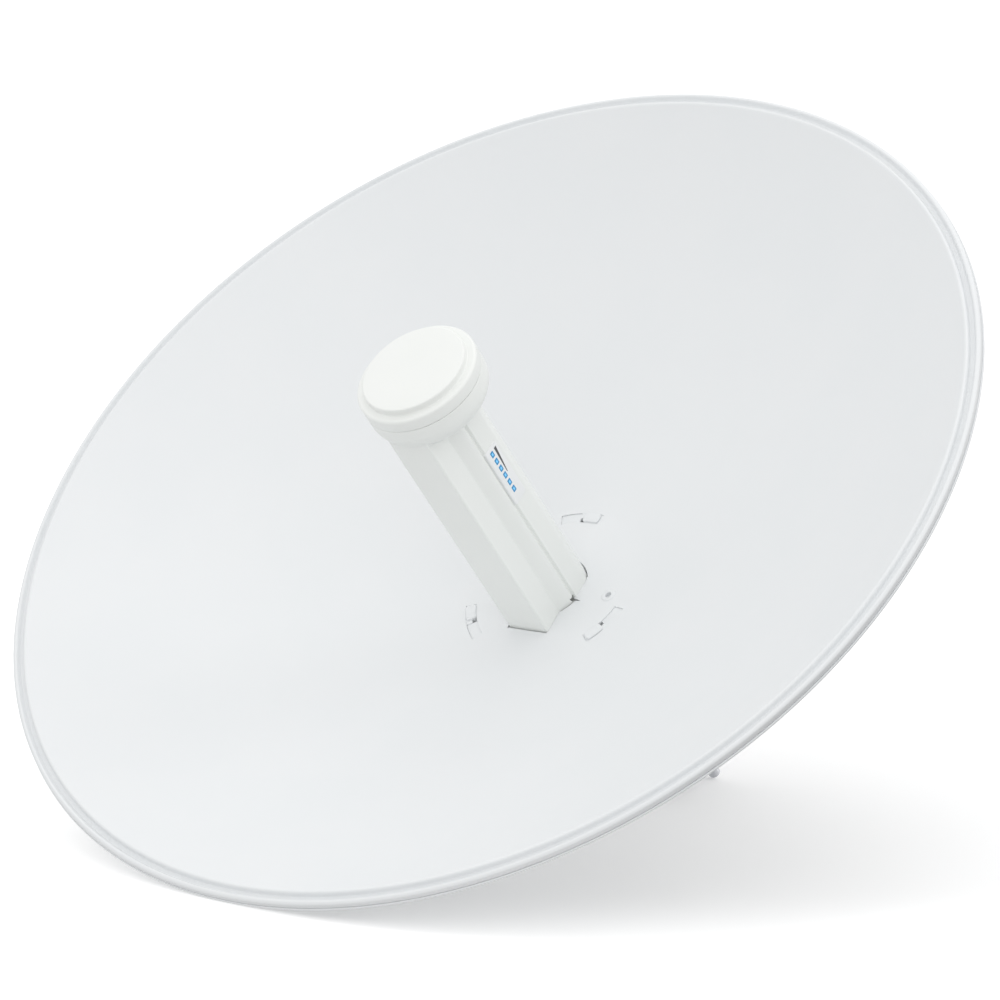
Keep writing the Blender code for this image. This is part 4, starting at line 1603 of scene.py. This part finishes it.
@dataclass
class Fasteners:
    """Bolts, nuts, washers and screws of the mount."""

    thread: Thread = Thread()
    hexagon: Hexagon = Hexagon()
    bolt_x: float = 38.0
    gap: float = 0.3
    nut: float = 6.5
    nut_bore: float = 4.05
    washer: float = 1.6
    washer_radii: Pair = (9.0, 4.3)
    washer_edge: float = 0.3
    channel_web: float = -212.0
    clamp_web: float = -259.0
    bolt_end: float = -289.99
    neck_end: float = 14.0
    head_foot: tuple[Pair, ...] = ((3.8, -0.05), (9.1, 0.0))
    dome: Pair = (9.5, 3.8)
    dome_lift: float = 0.6
    overlap: float = 1.0
    thread_overlap: float = 0.2
    bolt_seat: float = 55.3
    head: float = 5.3
    side_bolt_end: float = 38.8
    nut_seat: float = 48.3
    screw_seat: float = -120.1
    screw_rings: tuple[Pair, ...] = ((4.8, 0.0), (4.8, -1.6), (4.6, -2.4), (4.0, -3.0), (3.2, -3.4))
    shank: float = 2.4
    shank_end: float = -117.2
    drive: Pair = (1.5, 0.28)
    drive_levels: Pair = (0.02, 1.6)

    def beside(self, grid: Array, side: Side) -> Array:
        """Grid moved from the axis to the clamp bolt of a side."""
        return grid + np.array([side.value * self.bolt_x, 0.0, 0.0])

    def outwards(self, grid: Array, place: Pair, side: Side) -> Array:
        """Grid turned from the axis to point out of a side, at its (y, z)."""
        out = side.value * grid[:, :, [2, 1, 0]] * np.array([1.0, side.value, -1.0])
        return out + np.array([0.0, *place])

    def carriage_bolt(self, side: Side) -> bpy.types.Object:
        """Round head over the channel's web, plain neck and threaded end.

        Args:
            side: Side of the mount.

        Returns:
            The bolt.
        """
        head, neck_end = self.channel_web + self.gap, self.clamp_web + self.neck_end
        turns = np.radians(np.linspace(90.0, 0.1, 10))
        wide, high = self.dome
        rise = head + self.dome_lift + high * np.cos(turns)
        foot = np.array(self.head_foot) + np.array([0.0, head])
        profile = np.concatenate([foot, np.stack([wide * np.sin(turns), rise], axis=1)])
        neck = [(self.thread.radius, z) for z in (neck_end, head + self.overlap)]
        rod = self.thread.rod(self.bolt_end, neck_end + self.thread_overlap)
        surface = Surface(f"clamp_carriage_bolt_{side.name}", 28.0)
        for grid in (revolve(profile, 48), revolve(neck, 32), rod):
            surface.solid(self.beside(grid, side))
        return surface.build()

    def clamp_washer(self, side: Side) -> bpy.types.Object:
        """Flat washer with soft outer edges behind the clamp.

        Args:
            side: Side of the mount.

        Returns:
            The washer.
        """
        high = self.clamp_web - self.gap
        low, edge = high - self.washer, self.washer_edge
        outer, inner = self.washer_radii
        profile = (
            (inner, low), (outer - edge, low), (outer, low + edge),
            (outer, high - edge), (outer - edge, high), (inner, high),
        )  # fmt: skip
        surface = Surface(f"clamp_flat_washer_{side.name}", 35.0)
        return surface.ring(self.beside(revolve(profile, 64), side)).build()

    def clamp_nut(self, side: Side) -> bpy.types.Object:
        """Hexagon nut behind its washer.

        Args:
            side: Side of the mount.

        Returns:
            The nut.
        """
        high = self.clamp_web - 2.0 * self.gap - self.washer
        grid = self.hexagon.block(high - self.nut, high, self.nut_bore)
        surface = Surface(f"clamp_hex_nut_{side.name}", 25.0)
        return surface.ring(self.beside(grid, side)).build()

    def side_bolt(self, name: str, place: Pair, side: Side) -> bpy.types.Object:
        """Hexagon bolt that goes in through an ear.

        Args:
            name: First word of the bolt's name.
            place: Its (y, z).
            side: Side of the mount.

        Returns:
            The bolt.
        """
        seat = self.bolt_seat
        head = self.hexagon.block(seat, seat + self.head, both=False)[1:]
        surface = Surface(f"{name}_hex_bolt_{side.name}", 25.0)
        surface.solid(self.outwards(head, place, side))
        rod = self.thread.rod(self.side_bolt_end, seat + self.overlap / 2.0)
        return surface.solid(self.outwards(rod, place, side)).build()

    def side_nut(self, name: str, place: Pair, side: Side) -> bpy.types.Object:
        """Hexagon nut inside the channel.

        Args:
            name: First word of the nut's name.
            place: Its (y, z).
            side: Side of the mount.

        Returns:
            The nut.
        """
        grid = self.hexagon.block(self.nut_seat - self.nut, self.nut_seat, self.nut_bore)
        surface = Surface(f"{name}_hex_nut_{side.name}", 25.0)
        return surface.ring(self.outwards(grid, place, side)).build()

    def web_screw(self, number: int, place: Pair) -> bpy.types.Object:
        """Pan head screw with a six-lobed drive in its head.

        Args:
            number: Number of the screw.
            place: Its (x, y).

        Returns:
            The screw.
        """
        seat, turn = self.screw_seat, even_turns(48)
        rings = np.array(self.screw_rings) + np.array([0.0, seat])
        lobes = self.drive[0] + self.drive[1] * np.cos(6.0 * turn)
        shank = polar(self.shank, turn, np.array([[self.shank_end], [seat]]))
        drive = polar(lobes, turn, rings[-1, 1] + np.array(self.drive_levels)[:, None])
        grid = np.concatenate([shank, revolve(rings, 48), drive]) + np.array([*place, 0.0])
        return Surface(f"web_pan_screw_{number}", 30.0).solid(grid).build()


# ------------------------------------------------------------------- studio


@dataclass
class Studio:
    """Plain pale floor, soft light and the camera.

    The floor's corners are (right, forward) of the camera, in metres.
    """

    focal_pixels: float = 4500.0
    azimuth: float = 38.26
    pitch: float = 9.54
    offset: Triple = (-10.55, -13.75, 2753.6)
    picture: float = 1000.0
    sensor: float = 36.0
    clip_end: float = 100.0
    paper: tuple[Pair, ...] = (
        (-1.5, -0.42), (0.285, -0.42), (0.337, 0.0), (1.5, 10.0), (-2.5, 10.0),
    )  # fmt: skip
    dark: tuple[Pair, ...] = ((0.15, -1.3), (1.6, -1.3), (1.6, 0.35), (0.15, 0.35))
    dark_height: float = -0.001
    ground: tuple[Pair, ...] = ((-12.0, -12.0), (12.0, -12.0), (12.0, 12.0), (-12.0, 12.0))
    ground_height: float = -0.002
    light_size: float = 1.6
    target: Triple = (0.0, 0.0, 0.2)
    lights: tuple[tuple[str, Triple, float], ...] = (
        ("front_softbox", (1.2, -2.4, 1.5), 6.0),
        ("side_softbox", (2.2, 1.1, 2.6), 10.0),
        ("top_softbox", (0.0, 0.0, 3.2), 5.5),
    )
    world: float = 1.004

    def camera(self) -> None:
        """Camera whose place gives the rim plane's middle its measured offset."""
        a, e = math.radians(self.azimuth), math.radians(self.pitch)
        back = np.array([math.sin(a) * math.cos(e), -math.cos(a) * math.cos(e), math.sin(e)])
        right = np.array([math.cos(a), math.sin(a), 0.0])
        up = np.cross(back, right)
        data = bpy.data.cameras.new("photo_camera")
        data.sensor_width = self.sensor
        data.lens = self.sensor * self.focal_pixels / self.picture
        data.clip_end = self.clip_end
        camera = linked("photo_camera", data)
        axes = np.stack([right, -up, -back])
        matrix = Matrix(np.stack([right, up, back], axis=1).tolist()).to_4x4()
        matrix.translation = Vector(DISH.origin() - np.array(self.offset) @ axes * MM)
        camera.matrix_world = matrix
        bpy.context.scene.camera = camera

    def area_light(self, name: str, place: Triple, watts: float) -> None:
        """Add a square soft light that looks at the antenna.

        Args:
            name: Name of the light.
            place: Where it hangs, in metres.
            watts: Power.
        """
        data = bpy.data.lights.new(name, "AREA")
        data.shape, data.size, data.energy = "SQUARE", self.light_size, watts
        light = linked(name, data)
        light.location = Vector(place)
        aim = Vector(self.target) - Vector(place)
        light.rotation_euler = aim.to_track_quat("-Z", "Y").to_euler()

    def level_sheet(
        self, name: str, corners: Array, height: float, finish: Finish
    ) -> bpy.types.Object:
        """Add a level sheet and mark it as stage.

        Args:
            name: Name of the sheet.
            corners: Its (x, y) corners in metres, anticlockwise.
            height: Height in metres.
            finish: Its finish.

        Returns:
            The sheet.
        """
        mesh = bpy.data.meshes.new(name)
        points = np.column_stack([corners, np.full(len(corners), height)])
        mesh.from_pydata(points, [], [tuple(range(len(corners)))])
        mesh.materials.append(material(finish))
        sheet = linked(name, mesh)
        return sheet

    def floor(self) -> None:
        """White paper under the antenna on a wide grey ground with a darker stretch.

        The antenna's matt faces are lit by the ground, not by the paper.
        """
        a = math.radians(self.azimuth)
        turn = np.array([[math.cos(a), math.sin(a)], [-math.sin(a), math.cos(a)]])
        paper, dark = np.array(self.paper) @ turn, np.array(self.dark) @ turn
        sheet = self.level_sheet("studio_paper", paper, 0.0, Finish.PAPER)
        sheet.visible_diffuse = False
        self.level_sheet("studio_dark_ground", dark, self.dark_height, Finish.DARK_GROUND)
        ground = np.array(self.ground)
        self.level_sheet("studio_ground", ground, self.ground_height, Finish.GROUND)

    def surroundings(self) -> None:
        """Even white surroundings."""
        world = bpy.data.worlds.new("studio_world")
        world.use_nodes = True
        background = world.node_tree.nodes["Background"].inputs
        background["Color"].default_value = WHITE
        background["Strength"].default_value = self.world
        bpy.context.scene.world = world

    def build(self) -> None:
        """Set up the world, the floor, the lights and the camera."""
        bpy.context.scene.view_settings.view_transform = "Standard"
        self.surroundings()
        self.floor()
        for light in self.lights:
            self.area_light(*light)
        self.camera()


# -------------------------------------------------------------------- build


@dataclass(frozen=True)
class MountLayout:
    """Places of the mount's fasteners in the dish frame."""

    pivot: Pair = (-16.0, -186.0)
    lock_radius: float = 30.0
    lock_angle: float = 96.0
    screws: tuple[Pair, ...] = ((-32.0, -54.0), (32.0, -54.0), (-32.0, 54.0), (32.0, 54.0))

    def lock(self) -> Pair:
        """Place of the lock bolt as (y, z)."""
        turn = self.lock_angle
        return tuple(arc_points(self.pivot, self.lock_radius, turn, turn, 1)[0])


def build_front() -> None:
    """Build the reflector, the hub, the tower, the cap and the indicator panel."""
    hand_in(Reflector().build(), Finish.PAINT, "reflector_paint", "reflector_dish")
    hub, plastic = BayonetHub(), "housing_plastic"
    hand_in(hub.build(), Finish.HUB, plastic, "mount_hub")
    hand_in(hub.build_tabs(), Finish.HUB, plastic)
    hand_in(SightBoss().build(), Finish.HUB, plastic)
    tower = ("feed_lower_shell", "feed_upper_shell", "feed_collar")
    hand_in(FeedTower().build(), Finish.PLASTIC, plastic, *tower)
    hand_in(FeedCap().build(), Finish.PLASTIC, plastic, "feed_cap")
    panel = IndicatorPanel()
    hand_in(panel.plate(), Finish.FILM, "panel_film", "indicator_panel")
    hand_in(panel.signal_bar(), Finish.INK, "panel_film")
    for number in range(1, panel.count + 1):
        node = f"indicator_window_{number}"
        hand_in(panel.window_piece(number), Finish.GLOW, "window_blue", node)


def build_rear() -> None:
    """Build the rear housing, the steel brackets and the fasteners."""
    hand_in(RearHousing().build(), Finish.PLASTIC, "housing_plastic", "rear_housing")
    cover = dressed_copy("port_cover", "port_cover_moulded", 0.2)
    hand_in(cover, Finish.PLASTIC, "housing_plastic", "port_cover")
    for node in ("dish_bracket", "pole_bracket", "pole_clamp"):
        hand_in(dressed_copy(node, f"{node}_pressed"), Finish.STEEL, "zinc_steel", node)
    kit, layout, steel = Fasteners(), MountLayout(), "bolt_steel"
    for side in Side:
        word = side.name
        hand_in(kit.carriage_bolt(side), Finish.BOLT, steel, f"clamp_bolt_{word}")
        hand_in(kit.clamp_washer(side), Finish.BOLT, steel, f"clamp_washer_{word}")
        hand_in(kit.clamp_nut(side), Finish.BOLT, steel, f"clamp_nut_{word}")
        for name, place in (("pivot", layout.pivot), ("lock", layout.lock())):
            bolt, nut = kit.side_bolt(name, place, side), kit.side_nut(name, place, side)
            hand_in(bolt, Finish.BOLT, steel, f"{name}_bolt_{word}")
            hand_in(nut, Finish.BOLT, steel, f"{name}_nut_{word}")
    for number, place in enumerate(layout.screws, 1):
        hand_in(kit.web_screw(number, place), Finish.BOLT, steel, f"web_screw_{number}")


def main() -> None:
    """Build the antenna and the studio."""
    logging.basicConfig(level=logging.INFO, format="%(message)s")
    build_front()
    build_rear()
    Studio().build()


if __name__ == "__main__":
    main()
